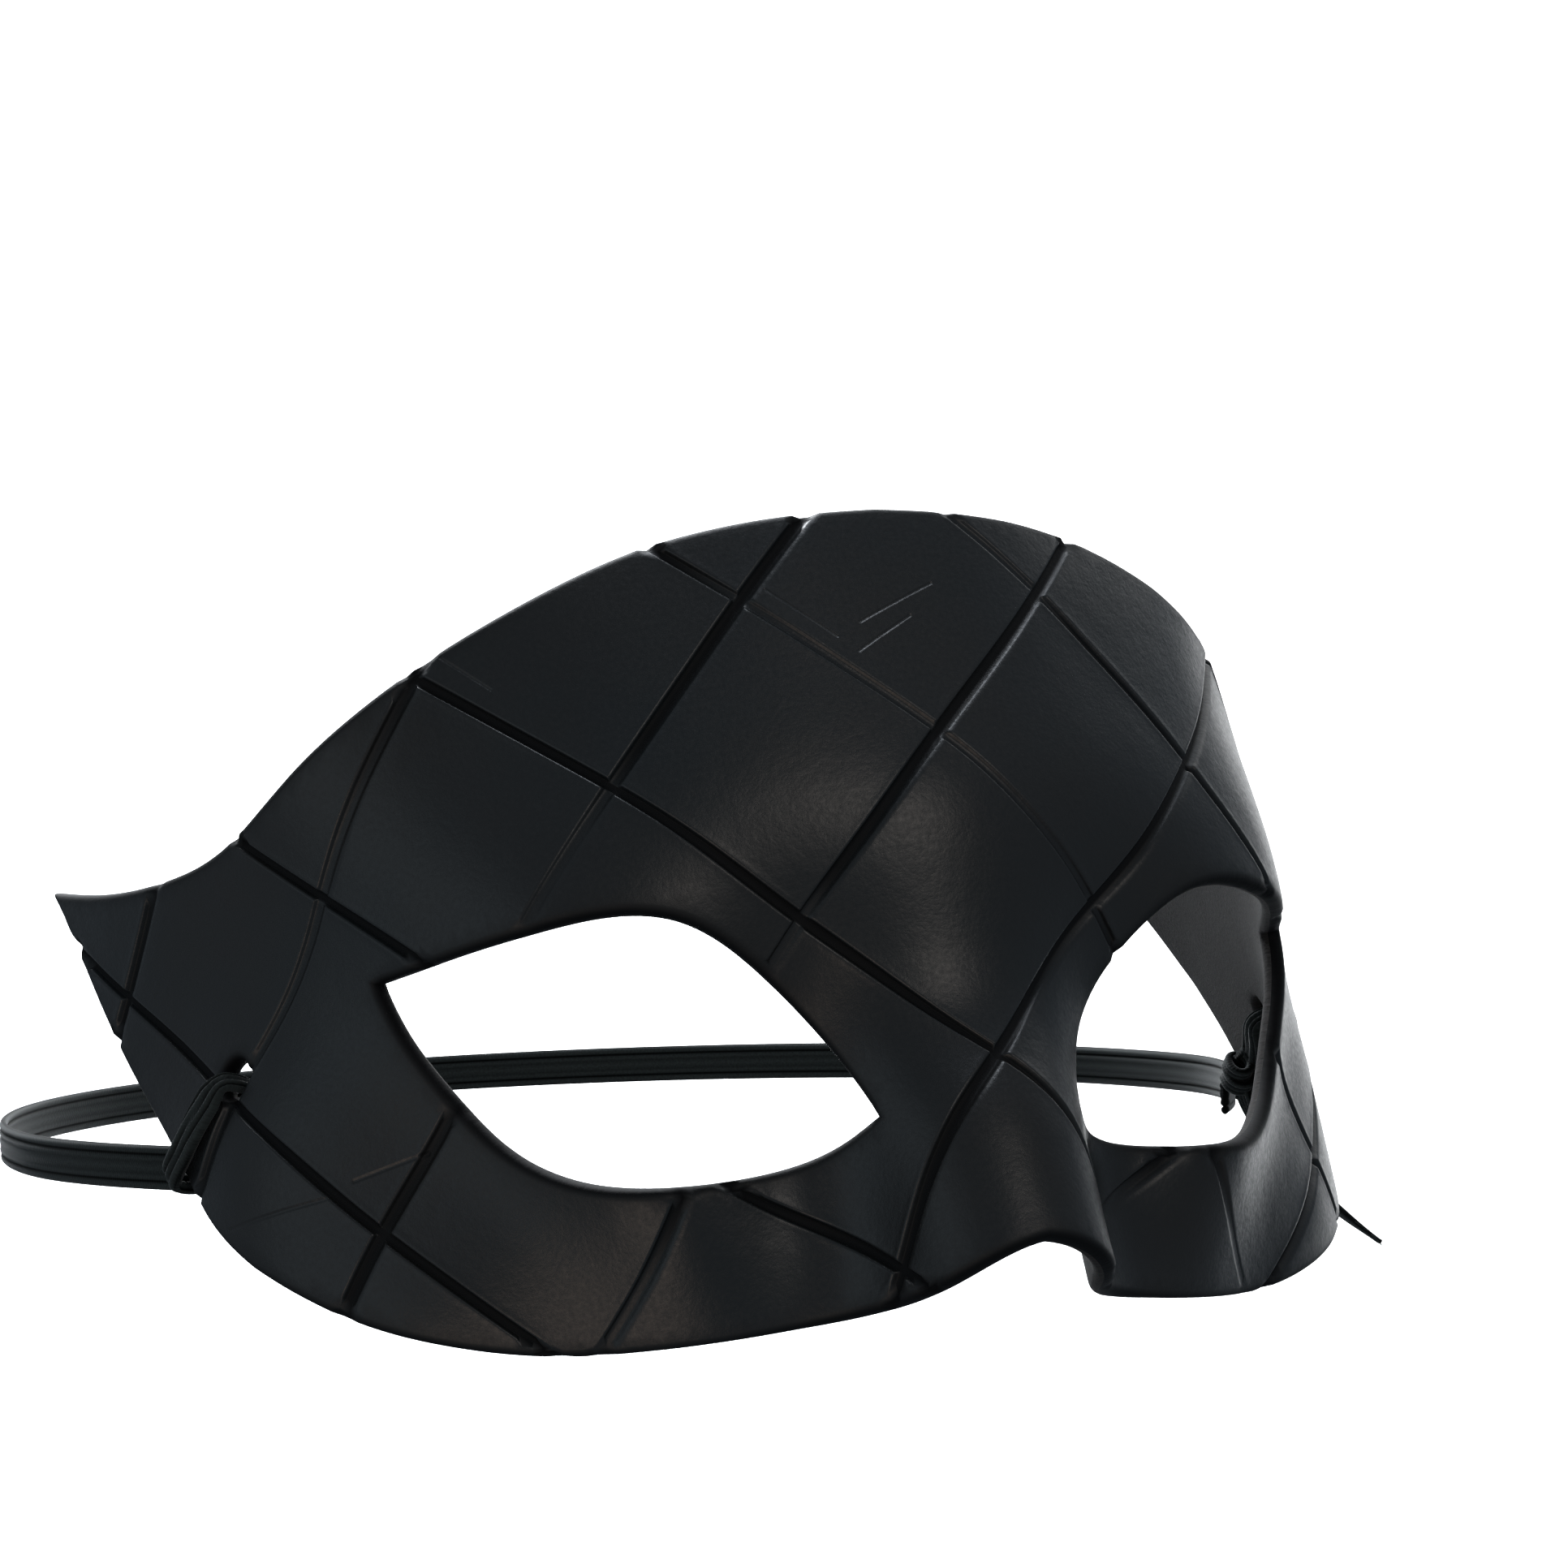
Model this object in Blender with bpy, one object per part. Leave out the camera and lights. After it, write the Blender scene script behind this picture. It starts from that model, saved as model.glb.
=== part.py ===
"""Black leather half mask, carved with a diamond grid and held on by a flat elastic head band.

Built in metres with +Z up. The mask faces -Y in the form it has when worn, and the wearer's right is -X.
The origin is on the middle line, where the inner face of the nose bridge sits on the nose.
The mask is made as the real one is: a flat blank is cut and carved, then bent over the face while wet.
"""

import bmesh
import bpy
import numpy as np
from mathutils.geometry import delaunay_2d_cdt

MM = 0.001

# The flat blank, in millimetres: girths run out from the middle line, heights up from the nose bridge
HALF_GIRTH = 122.0
FOREHEAD = 64.0
NOSE = 22.0
LEATHER = 2.5
EDGE_ROUND = 0.6

# Carved grid
DIAMOND = 25.4
GROOVE_WIDTH = 1.5
GROOVE_DEPTH = 0.7

# Eye hole, from its inner corner
EYE_LENGTH = 53.0
EYE_HEIGHT = 28.5
EYE_INNER_GIRTH = 15.0
EYE_INNER_DROP = 3.5

# Elastic tied through a punched hole at each temple. It runs from the hole down to the edge at this slope.
# It is pulled towards the edge, so it crowds to that side of the hole and gathers to its neck width there
TIE_WIDTH = 3.8
TIE_THICKNESS = 1.5
TIE_SLOPE = 32.0
TIE_NECK = 2.2
TIE_NECK_REACH = 2.0
TIE_SEAT = 0.65
KNOT_LENGTH = 7.0
KNOT_WIDTH = 5.6
KNOT_THICKNESS = 4.2
KNOT_INSET = 3.9
BAND_WIDTH = 5.0
BAND_THICKNESS = 1.1
BAND_DROP = 2.7
CLEARANCE = 0.35
HOLE_GIRTH = 89.5
HOLE_HEIGHT = 20.5
HOLE_RADIUS = np.hypot(TIE_NECK / 2, TIE_SEAT + TIE_THICKNESS / 2) + CLEARANCE

# Where the head band goes round the head, and how far the elastic's cut ends hang and swing out
HEAD_HALF_WIDTH = 77.0
HEAD_LENGTH = 190.0
EAR_DEPTH = 100.0
TAIL_LEFT = 22.0
TAIL_RIGHT = 7.0
TAIL_SWING = 0.86
TAIL_CURL = 1.65
TAIL_WIDTH = 3.4

# Mesh fineness
FILL_ROWS = 5
EDGE_STEP = 3.2
EYE_STEP = 2.6
HOLE_SIDES = 20
BAND_STEP = 6.0
CURVE_SAMPLES = 400
SHORT_EDGE = 0.25
SHARP_DEGREES = 40

# Edges of the blank's right half: a row for each point, as shares of HALF_GIRTH and of FOREHEAD or NOSE
TOP_EDGE = (
    # girth, height
    (0.000, 1.000),
    (0.115, 0.990),
    (0.230, 0.966),
    (0.345, 0.910),
    (0.460, 0.846),
    (0.575, 0.772),
    (0.690, 0.710),
    (0.800, 0.716),
    (0.905, 0.762),
    (0.995, 0.822),
)
SIDE_EDGE = (
    # girth, height
    (0.995, 0.822),
    (0.968, 0.730),
    (0.942, 0.620),
    (0.905, 0.455),
    (0.860, 0.300),
    (0.812, 0.155),
    (0.730, 0.000),
)
LOWER_EDGE = (
    # girth, drop below the nose bridge
    (0.730, 0.000),
    (0.650, 0.310),
    (0.560, 0.550),
    (0.465, 0.705),
    (0.370, 0.775),
    (0.270, 0.850),
    (0.175, 0.940),
    (0.090, 1.000),
    (0.000, 0.965),
)

# Eye hole: shares of EYE_LENGTH and EYE_HEIGHT from the inner corner to the outer one
EYE_UPPER = (
    # along, up
    (0.000, 0.000),
    (0.035, 0.250),
    (0.100, 0.490),
    (0.200, 0.720),
    (0.310, 0.865),
    (0.450, 0.935),
    (0.620, 0.950),
    (0.820, 0.975),
    (1.000, 1.000),
)
EYE_LOWER = (
    # along, up
    (1.000, 1.000),
    (0.965, 0.795),
    (0.900, 0.560),
    (0.795, 0.325),
    (0.660, 0.165),
    (0.500, 0.085),
    (0.330, 0.035),
    (0.150, -0.020),
    (0.000, 0.000),
)

# How the wet leather is bent, in degrees. Each section runs out from the middle line at one height of the blank.
# TURN is how far it has turned towards the back of the head, DIP how far it slopes down, at each station.
STATIONS = (
    # share of HALF_GIRTH: flank, corner, lid, brow_end, socket, temple, hole, tip
    (0.066, 0.148, 0.246, 0.361, 0.467, 0.590, 0.754, 1.000)
)
TURN = (
    # height share of FOREHEAD, then flank, corner, lid, brow_end, socket, temple, hole, tip
    (-0.328, 37, 67, 31, 32, 32, 35, 56, 67),
    (-0.109, 37, 58, 0, 38, 35, 42, 63, 69),
    (0.141, 22, 28, -12, 44, 58, 39, 72, 70),
    (0.422, 10, 14, 17, 32, 55, 60, 66, 75),
    (0.703, 4, 15, 21, 34, 35, 60, 71, 79),
    (1.000, 5, 17, 19, 20, 31, 57, 76, 77),
)
# The wearer's left temple was bent further round than the right one: how many degrees more it has turned.
LEFT_TURN = (
    # height share of FOREHEAD, then flank, corner, lid, brow_end, socket, temple, hole, tip
    (-0.328, 0, 0, 0, 0, 0, 0, 0, 0),
    (-0.109, 0, 0, 0, 0, 0, 0, 1, 2),
    (0.141, 0, 0, 0, 0, 0, 6, 3, 3),
    (0.422, 0, 0, 0, 0, 2, 6, 5, 0),
    (0.703, 0, 0, 0, 4, 16, 12, 6, 0),
    (1.000, 0, 0, 2, 12, 28, 14, 6, 0),
)
DIP = (
    # height share of FOREHEAD, then flank, corner, lid, brow_end, socket, temple, hole, tip
    (-0.328, 25, 27, 20, 12, 10, 11, 13, 15),
    (-0.109, 17, 29, 20, 11, 8, 12, 14, 16),
    (0.141, 7, 20, 13, 12, 13, 12, 18, 17),
    (0.422, 7, 9, 10, 15, 21, 16, 18, 19),
    (0.703, 4, 8, 10, 14, 18, 18, 18, 19),
    (1.000, 2, 6, 9, 12, 16, 19, 19, 18),
)
# The middle line leans back by this many degrees from upright: nose, bridge, brow and forehead
LEAN = (
    # height share of FOREHEAD, lean
    (-0.328, 28),
    (-0.156, 29),
    (0.000, 38),
    (0.141, 18),
    (0.313, 7),
    (0.531, 27),
    (0.781, 28),
    (1.000, 31),
)

GAUSS_POINTS, GAUSS_WEIGHTS = np.polynomial.legendre.leggauss(24)
GAUSS_POINTS, GAUSS_WEIGHTS = (GAUSS_POINTS + 1) / 2, GAUSS_WEIGHTS / 2


def spline_weights(knots, at):
    """How much each knot's value counts at each place, on the natural cubic spline through them."""
    knots = np.asarray(knots, float)
    count, gap = len(knots), np.diff(knots)
    bends, values = np.eye(count), np.zeros((count, count))
    for i in range(1, count - 1):
        bends[i, i - 1 : i + 2] = gap[i - 1], 2 * (gap[i - 1] + gap[i]), gap[i]
        values[i, i - 1 : i + 2] = 6 / gap[i - 1], -6 / gap[i - 1] - 6 / gap[i], 6 / gap[i]
    curvature = np.linalg.solve(bends, values)
    at = np.clip(np.ravel(at), knots[0], knots[-1])
    span = np.clip(np.searchsorted(knots, at, side="right") - 1, 0, count - 2)
    right = (at - knots[span]) / gap[span]
    left = 1 - right
    weights = np.zeros((len(at), count))
    weights[np.arange(len(at)), span] = left
    weights[np.arange(len(at)), span + 1] = right
    scale = (gap[span] ** 2 / 6)[:, None]
    weights += (left**3 - left)[:, None] * scale * curvature[span]
    weights += (right**3 - right)[:, None] * scale * curvature[span + 1]
    return weights


def bent_sheet(girths, heights):
    """Where points of the flat blank's grain side lie once it is bent, in millimetres from the nose bridge."""
    girths, heights = np.ravel(girths).astype(float), np.ravel(heights).astype(float)
    out = np.abs(girths)
    at_station = spline_weights(
        np.r_[0.0, STATIONS] * HALF_GIRTH, out[:, None] * GAUSS_POINTS
    ).reshape(len(out), len(GAUSS_POINTS), -1)[:, :, 1:]
    rows = np.array([row[0] for row in TURN]) * FOREHEAD
    at_height = spline_weights(rows, heights)
    degrees = at_height @ np.array(TURN)[:, 1:]
    degrees += (girths > 0)[:, None] * (at_height @ np.array(LEFT_TURN)[:, 1:])
    turn = np.radians(np.einsum("psk,pk->ps", at_station, degrees))
    dip = np.radians(np.einsum("psk,pk->ps", at_station, at_height @ np.array(DIP)[:, 1:]))
    lean_rows, lean_degrees = np.array(LEAN).T
    lean = spline_weights(lean_rows * FOREHEAD, heights[:, None] * GAUSS_POINTS) @ lean_degrees
    lean = np.radians(lean.reshape(len(out), -1))
    x = out * ((np.cos(turn) * np.cos(dip)) @ GAUSS_WEIGHTS)
    y = out * ((np.sin(turn) * np.cos(dip)) @ GAUSS_WEIGHTS) + heights * (np.sin(lean) @ GAUSS_WEIGHTS)
    z = heights * (np.cos(lean) @ GAUSS_WEIGHTS) - out * (np.sin(dip) @ GAUSS_WEIGHTS)
    return np.stack([np.sign(girths) * x, y, z], axis=1)


def formed(girths, heights, depths):
    """Points of the bent leather at these depths below its grain side, and the way out of the leather there."""
    nudge = 0.05
    across = bent_sheet(girths + nudge, heights) - bent_sheet(girths - nudge, heights)
    up = bent_sheet(girths, heights + nudge) - bent_sheet(girths, heights - nudge)
    normal = np.cross(across, up)
    normal /= np.linalg.norm(normal, axis=1)[:, None]
    return bent_sheet(girths, heights) - np.ravel(depths)[:, None] * normal - NOSE_SEAT, normal


def line_through(rows, step):
    """Evenly spaced points on the smooth curve through a table's points, the last one left out."""
    rows = np.array(rows, float)
    knots = np.r_[0.0, np.cumsum(np.hypot(*np.diff(rows, axis=0).T))]
    fine = spline_weights(knots, np.linspace(0, knots[-1], CURVE_SAMPLES)) @ rows
    along = np.r_[0.0, np.cumsum(np.hypot(*np.diff(fine, axis=0).T))]
    count = max(2, round(along[-1] / step))
    at = np.linspace(0, along[-1], count + 1)[:-1]
    return np.stack([np.interp(at, along, fine[:, 0]), np.interp(at, along, fine[:, 1])], axis=1)


def blank_outline():
    """The blank's outer edge, anticlockwise as seen from the grain side, starting at the middle of the top."""
    above, below = (HALF_GIRTH, FOREHEAD), (HALF_GIRTH, -NOSE)
    right = np.concatenate(
        [
            line_through(np.array(TOP_EDGE) * above, EDGE_STEP),
            line_through(np.array(SIDE_EDGE) * above, EDGE_STEP),
            line_through(np.array(LOWER_EDGE) * below, EDGE_STEP),
            [[0.0, LOWER_EDGE[-1][1] * -NOSE]],
        ]
    )
    return np.concatenate([right, right[-2:0:-1] * (-1, 1)])[::-1]


def eye_outline(side):
    """The eye hole's edge on one side (1 or -1), clockwise as seen from the grain side."""
    size = (EYE_LENGTH, EYE_HEIGHT)
    edge = np.concatenate(
        [line_through(np.array(rows) * size, EYE_STEP) for rows in (EYE_UPPER, EYE_LOWER)]
    )
    edge = (edge + (EYE_INNER_GIRTH, -EYE_INNER_DROP)) * (side, 1)
    return edge if side > 0 else edge[::-1]


def hole_outline(side):
    """The punched strap hole on one side, clockwise as seen from the grain side."""
    angle = -np.arange(HOLE_SIDES) * 2 * np.pi / HOLE_SIDES
    ring = np.stack([np.cos(angle), np.sin(angle)], axis=1) * HOLE_RADIUS
    return ring + (side * HOLE_GIRTH, HOLE_HEIGHT)


def inset(loop, distance):
    """The loop moved into the leather, which lies on its left."""
    ahead = np.roll(loop, -1, axis=0) - loop
    ahead /= np.linalg.norm(ahead, axis=1)[:, None]
    behind = np.roll(ahead, 1, axis=0)
    inward = np.stack([-(ahead + behind)[:, 1], (ahead + behind)[:, 0]], axis=1)
    inward /= np.linalg.norm(inward, axis=1)[:, None]
    half_turn = np.clip((inward * np.stack([-ahead[:, 1], ahead[:, 0]], axis=1)).sum(axis=1), 0.5, 1)
    return loop + inward * (distance / half_turn)[:, None]


def inside(points, loop):
    """Which points lie inside a closed loop."""
    x, y = points[:, :1], points[:, 1:]
    x1, y1 = loop.T
    x2, y2 = np.roll(loop, -1, axis=0).T
    crosses = (y1 > y) != (y2 > y)
    run = np.where(y2 == y1, 1, y2 - y1)
    return (crosses & (x < (x2 - x1) * (y - y1) / run + x1)).sum(axis=1) % 2 == 1


def gap_to(points, loop):
    """How far each point is from a closed loop."""
    step = np.roll(loop, -1, axis=0) - loop
    off = points[:, None] - loop
    share = np.clip((off * step).sum(axis=2) / (step**2).sum(axis=1), 0, 1)
    return np.linalg.norm(off - share[:, :, None] * step, axis=2).min(axis=1)


def turned_over(corners):
    """Which flat triangles have no area or run the wrong way round."""
    first, second = corners[:, 1] - corners[:, 0], corners[:, 2] - corners[:, 0]
    return first[:, 0] * second[:, 1] <= first[:, 1] * second[:, 0]


def without_short_edges(flat, faces):
    """The triangles with short edges closed up, wherever that turns no triangle over and pinches nothing."""
    sides = np.unique(np.sort(faces[:, [0, 1, 1, 2, 2, 0]].reshape(-1, 2), axis=1), axis=0)
    lengths = np.hypot(*(flat[sides[:, 0]] - flat[sides[:, 1]]).T)
    for kept, dropped in sides[lengths < SHORT_EDGE]:
        at_kept, at_dropped = (faces == kept).any(axis=1), (faces == dropped).any(axis=1)
        closed = at_kept & at_dropped
        shared = np.intersect1d(faces[at_kept], faces[at_dropped])
        moved = np.where(faces == dropped, kept, faces)
        if closed.any() and len(shared) == 2 + closed.sum():
            if not turned_over(flat[moved[at_dropped & ~closed]]).any():
                faces = moved[~closed]
    return faces


def flat_blank():
    """The cut blank as flat triangles, with lines of points along each groove: points and faces."""
    cuts = [eye_outline(1), eye_outline(-1), hole_outline(1), hole_outline(-1)]
    loops = [blank_outline(), *cuts]
    loops += [inset(loop, EDGE_ROUND) for loop in loops]
    reach = int(np.ceil((HALF_GIRTH + FOREHEAD) / DIAMOND))
    centres = np.arange(-reach, reach + 1) * DIAMOND
    groove_rows = (centres[:, None] + np.array([-0.5, 0.0, 0.5]) * GROOVE_WIDTH).ravel()
    fill = np.arange(1, FILL_ROWS + 1) / (FILL_ROWS + 1) * DIAMOND
    rows = np.concatenate([groove_rows, (centres[:-1, None] + fill).ravel()])
    # The grid runs at 45 degrees to the middle line: one way is girth + height, the other height - girth
    down, across = (axis.ravel() for axis in np.meshgrid(rows, rows))
    grid = np.stack([down - across, down + across], axis=1) / np.sqrt(2)
    grid = grid[inside(grid, loops[0])]
    grid = grid[np.min([gap_to(grid, loop) for loop in loops], axis=0) > EDGE_ROUND]
    points, edges = [], []
    for loop in loops:
        first, count = len(points), len(loop)
        points += loop.tolist()
        edges += [(first + i, first + (i + 1) % count) for i in range(count)]
    for row in groove_rows:
        for sign in (1, -1):
            ends = np.array([[row + reach * DIAMOND, row - reach * DIAMOND]]).T * (sign, 1)
            ends[:, 1] = ends[::-1, 1]
            start = len(points)
            points += (ends / np.sqrt(2)).tolist()
            edges.append((start, start + 1))
    points += grid.tolist()
    flat, _, faces, _, _, _ = delaunay_2d_cdt(points, edges, [], 0, 1e-3)
    flat = np.array([tuple(point) for point in flat])
    faces = np.array([tuple(face) for face in faces])
    middle = flat[faces].mean(axis=1)
    keep = inside(middle, loops[0])
    for cut in cuts:
        keep &= ~inside(middle, cut)
    faces = without_short_edges(flat, faces[keep])
    used = np.unique(faces)
    return flat[used], np.searchsorted(used, faces)


def groove_share(points):
    """1 on the bottom line of a groove, and 0 at its lips and elsewhere."""
    ways = np.stack([points.sum(axis=1), points[:, 1] - points[:, 0]]) / np.sqrt(2)
    off = np.abs(ways - np.round(ways / DIAMOND) * DIAMOND).min(axis=0)
    return (off < GROOVE_WIDTH / 6).astype(float)


def mesh_object(name, points, faces, material):
    """A named object from points in millimetres, with its material and smooth shading off sharp edges."""
    mesh = bpy.data.meshes.new(name)
    mesh.from_pydata((np.asarray(points) * MM).tolist(), [], [tuple(map(int, face)) for face in faces])
    mesh.materials.append(material)
    mesh.shade_smooth()
    mesh.set_sharp_from_angle(angle=np.radians(SHARP_DEGREES))
    made = bpy.data.objects.new(name, mesh)
    bpy.context.scene.collection.objects.link(made)
    return made


def material(name, colour, roughness):
    made = bpy.data.materials.new(name)
    made.use_nodes = True
    shader = made.node_tree.nodes["Principled BSDF"]
    shader.inputs["Base Color"].default_value = (*colour, 1)
    shader.inputs["Roughness"].default_value = roughness
    shader.inputs["Metallic"].default_value = 0.0
    return made


def mask_shell(leather):
    """The bent leather: grain side and flesh side share one layout, joined by rounded edges."""
    flat, faces = flat_blank()
    sides = {tuple(side) for side in faces[:, [0, 1, 1, 2, 2, 0]].reshape(-1, 2).tolist()}
    rim = sorted(side for side in sides if side[::-1] not in sides)
    at_edge = np.isin(np.arange(len(flat)), rim)
    groove = groove_share(flat) * GROOVE_DEPTH
    grain_depth = np.where(at_edge, EDGE_ROUND + groove / 2, groove)
    flesh_depth = np.where(at_edge, LEATHER - EDGE_ROUND, LEATHER)
    grain, _ = formed(flat[:, 0], flat[:, 1], grain_depth)
    flesh, _ = formed(flat[:, 0], flat[:, 1], flesh_depth)
    count = len(flat)
    all_faces = faces.tolist() + (count + faces[:, ::-1]).tolist()
    all_faces += [[end, start, count + start, count + end] for start, end in rim]
    return mesh_object("mask_shell", np.concatenate([grain, flesh]), all_faces, leather)


def strip(path, across, width, thickness, closed=False):
    """A flat strip with rounded edges swept along a path, its width lying across: one width, or one a point."""
    path, across = np.asarray(path, float), np.asarray(across, float)
    ahead = np.roll(path, -1, axis=0) - np.roll(path, 1, axis=0)
    if not closed:
        ahead[0], ahead[-1] = path[1] - path[0], path[-1] - path[-2]
    ahead /= np.linalg.norm(ahead, axis=1)[:, None]
    across = across - (across * ahead).sum(axis=1)[:, None] * ahead
    across /= np.linalg.norm(across, axis=1)[:, None]
    out = np.cross(ahead, across)
    # One side of the strip's section, as shares of half its width and half its thickness
    upper = [(1, 0.35), (0.75, 1), (-0.75, 1), (-1, 0.35)]
    section = np.array(upper + [(-x, -y) for x, y in upper]) / 2
    across, out = across * np.reshape(width, (-1, 1)), out * thickness
    points = path[:, None] + section[None, :, :1] * across[:, None] + section[None, :, 1:] * out[:, None]
    sides, count = len(section), len(path)
    faces = []
    for i in range(count if closed else count - 1):
        for k in range(sides):
            here, there = i * sides, (i + 1) % count * sides
            faces.append((here + k, here + (k + 1) % sides, there + (k + 1) % sides, there + k))
    if not closed:
        faces += [tuple(reversed(range(sides))), tuple(range((count - 1) * sides, count * sides))]
    return points.reshape(-1, 3), faces


def tie_way(side):
    """The hole on the flat blank, the way from it to the blank's edge, and how far that is."""
    hole = np.array([side * HOLE_GIRTH, HOLE_HEIGHT])
    slope = np.radians(TIE_SLOPE)
    way = np.array([side * np.cos(slope), -np.sin(slope)])
    edge = blank_outline() - hole
    ahead, beside = edge @ way, edge @ (-way[1], way[0])
    next_ahead, next_beside = np.roll(ahead, -1), np.roll(beside, -1)
    crossed = np.flatnonzero((beside > 0) != (next_beside > 0))
    share = beside[crossed] / (beside[crossed] - next_beside[crossed])
    reach = ahead[crossed] + share * (next_ahead[crossed] - ahead[crossed])
    return hole, way, reach[reach > 0].min()


def tie_points(side, along, depths):
    """Points beside the leather, so far from the hole towards the edge and so deep below the grain side."""
    hole, way, _ = tie_way(side)
    flat = hole + np.ravel(along)[:, None] * way
    return formed(flat[:, 0], flat[:, 1], depths)


def tie_loop(side):
    """The loop of elastic through the hole and round the edge: its path, the way its width lies and its width."""
    hole, way, length = tie_way(side)
    off = CLEARANCE + TIE_THICKNESS / 2
    corner = np.linspace(0, np.pi / 2, 4)
    runs = np.linspace(TIE_SEAT + off, length, 6)[1:-1]
    front = [(run, -off) for run in runs]
    over_edge = [(length + off * np.sin(a), -off * np.cos(a)) for a in corner]
    under_edge = [(length + off * np.cos(a), LEATHER + off * np.sin(a)) for a in corner]
    back = [(run, LEATHER + off) for run in runs[::-1]]
    into_hole = [(TIE_SEAT + off - off * np.sin(a), LEATHER + off * np.cos(a)) for a in corner]
    out_of_hole = [(TIE_SEAT + off - off * np.cos(a), -off * np.sin(a)) for a in corner]
    along, depths = np.array(front + over_edge + under_edge + back + into_hole + out_of_hole).T
    path, _ = tie_points(side, along, depths)
    sideways = np.array([-way[1], way[0]])
    flat = hole + along[:, None] * way
    across = bent_sheet(*(flat + sideways).T) - bent_sheet(*(flat - sideways).T)
    spread = np.clip((along - TIE_SEAT - off / 2) / TIE_NECK_REACH, 0, 1)
    return path, across, TIE_NECK + (TIE_WIDTH - TIE_NECK) * spread


def knot_place(side):
    """The knot's middle, behind the leather near its edge, and its way along, across and out."""
    depth = LEATHER + CLEARANCE + KNOT_THICKNESS / 2
    along = tie_way(side)[2] - KNOT_INSET
    (near, far), normal = tie_points(side, [along, along + 1], [depth, depth])
    ahead = (far - near) / np.linalg.norm(far - near)
    return near, ahead, np.cross(normal[0], ahead), normal[0]


def knot_shape(side, sides=12, rings=7):
    """A round lump of knotted elastic."""
    middle, ahead, across, out = knot_place(side)
    half = np.array([KNOT_LENGTH, KNOT_WIDTH, KNOT_THICKNESS]) / 2
    points = [middle - ahead * half[0]]
    for ring in range(1, rings):
        lift = np.pi * ring / rings
        for k in range(sides):
            turn = 2 * np.pi * k / sides
            unit = (-np.cos(lift), np.sin(lift) * np.cos(turn), np.sin(lift) * np.sin(turn))
            points.append(middle + sum(h * u * way for h, u, way in zip(half, unit, (ahead, across, out))))
    points.append(middle + ahead * half[0])
    faces = [(0, 1 + (k + 1) % sides, 1 + k) for k in range(sides)]
    for ring in range(rings - 2):
        for k in range(sides):
            here, there = 1 + ring * sides, 1 + (ring + 1) * sides
            faces.append((here + k, here + (k + 1) % sides, there + (k + 1) % sides, there + k))
    last = 1 + (rings - 2) * sides
    faces += [(last + k, last + (k + 1) % sides, len(points) - 1) for k in range(sides)]
    return points, faces


def tail_path(side):
    """The cut end of the elastic, hanging from the knot behind the leather."""
    middle = knot_place(side)[0]
    length = TAIL_LEFT if side > 0 else TAIL_RIGHT
    drop = np.linspace(0, length, 6)
    swing = TAIL_SWING * TAIL_LEFT * (drop / TAIL_LEFT) ** TAIL_CURL
    return middle + np.stack([side * swing, 0 * drop, -drop], axis=1)


def outward(made):
    """Turns the object's faces outwards."""
    shape = bmesh.new()
    shape.from_mesh(made.data)
    bmesh.ops.recalc_face_normals(shape, faces=shape.faces)
    shape.to_mesh(made.data)
    shape.free()
    return made


def tie(name, side, elastic):
    """One end of the elastic: a loop round the leather's edge, a knot behind it and the cut end."""
    loop = outward(mesh_object(name, *strip(*tie_loop(side), TIE_THICKNESS, closed=True), elastic))
    tail = tail_path(side)
    tail_across = np.tile([0.0, 1.0, 0.15], (len(tail), 1))
    for label, shape in (
        ("knot", knot_shape(side)),
        ("tail", strip(tail, tail_across, TAIL_WIDTH, BAND_THICKNESS)),
    ):
        piece = outward(mesh_object(f"{name}_{label}", *shape, elastic))
        piece.hide_render = True
        piece.display_type = "WIRE"
        join = loop.modifiers.new(label, "BOOLEAN")
        join.operation = "UNION"
        join.object = piece
    return loop


def band_side(side):
    """The band's middle line from one knot back to the ear, where it lies against the head."""
    start = knot_place(side)[0] + (0, KNOT_LENGTH / 2 + CLEARANCE, -BAND_DROP)
    depths = np.linspace(start[1], EAR_DEPTH, 8)[:-1]
    share = (EAR_DEPTH - depths) / (EAR_DEPTH - start[1])
    half_widths = HEAD_HALF_WIDTH - (HEAD_HALF_WIDTH - abs(start[0])) * share**2
    return np.stack([side * half_widths, depths, np.full(len(depths), start[2])], axis=1)


def band_path():
    """The band's middle line, from the left knot round the back of the head to the right one."""
    left, right = band_side(1), band_side(-1)
    count = round(np.pi * (HEAD_HALF_WIDTH + HEAD_LENGTH - EAR_DEPTH) / 2 / BAND_STEP)
    angles = np.linspace(0, np.pi, count + 1)
    back = np.stack(
        [
            HEAD_HALF_WIDTH * np.cos(angles),
            EAR_DEPTH + (HEAD_LENGTH - EAR_DEPTH) * np.sin(angles),
            np.interp(angles, (0, np.pi), (left[0, 2], right[0, 2])),
        ],
        axis=1,
    )
    return np.concatenate([left, back, right[::-1]])


def head_band(elastic):
    path = band_path()
    upright = np.tile([0.0, 0.0, 1.0], (len(path), 1))
    return outward(mesh_object("head_band", *strip(path, upright, BAND_WIDTH, BAND_THICKNESS), elastic))


for old in list(bpy.data.objects):
    bpy.data.objects.remove(old, do_unlink=True)

NOSE_SEAT = np.zeros(3)
NOSE_SEAT = formed(np.zeros(1), np.zeros(1), [LEATHER])[0][0]

black_leather = material("black_leather", (0.012, 0.014, 0.016), 0.48)
black_elastic = material("black_elastic", (0.014, 0.018, 0.018), 0.75)
mask_shell(black_leather)
tie("tie_left", 1, black_elastic)
tie("tie_right", -1, black_elastic)
head_band(black_elastic)
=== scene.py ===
"""Looks of a black leather half mask, carved with a diamond grid and worn on a flat elastic head band."""

import bmesh
import bpy
import numpy as np
from mathutils import Matrix, Vector, noise
from mathutils.geometry import delaunay_2d_cdt


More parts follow.
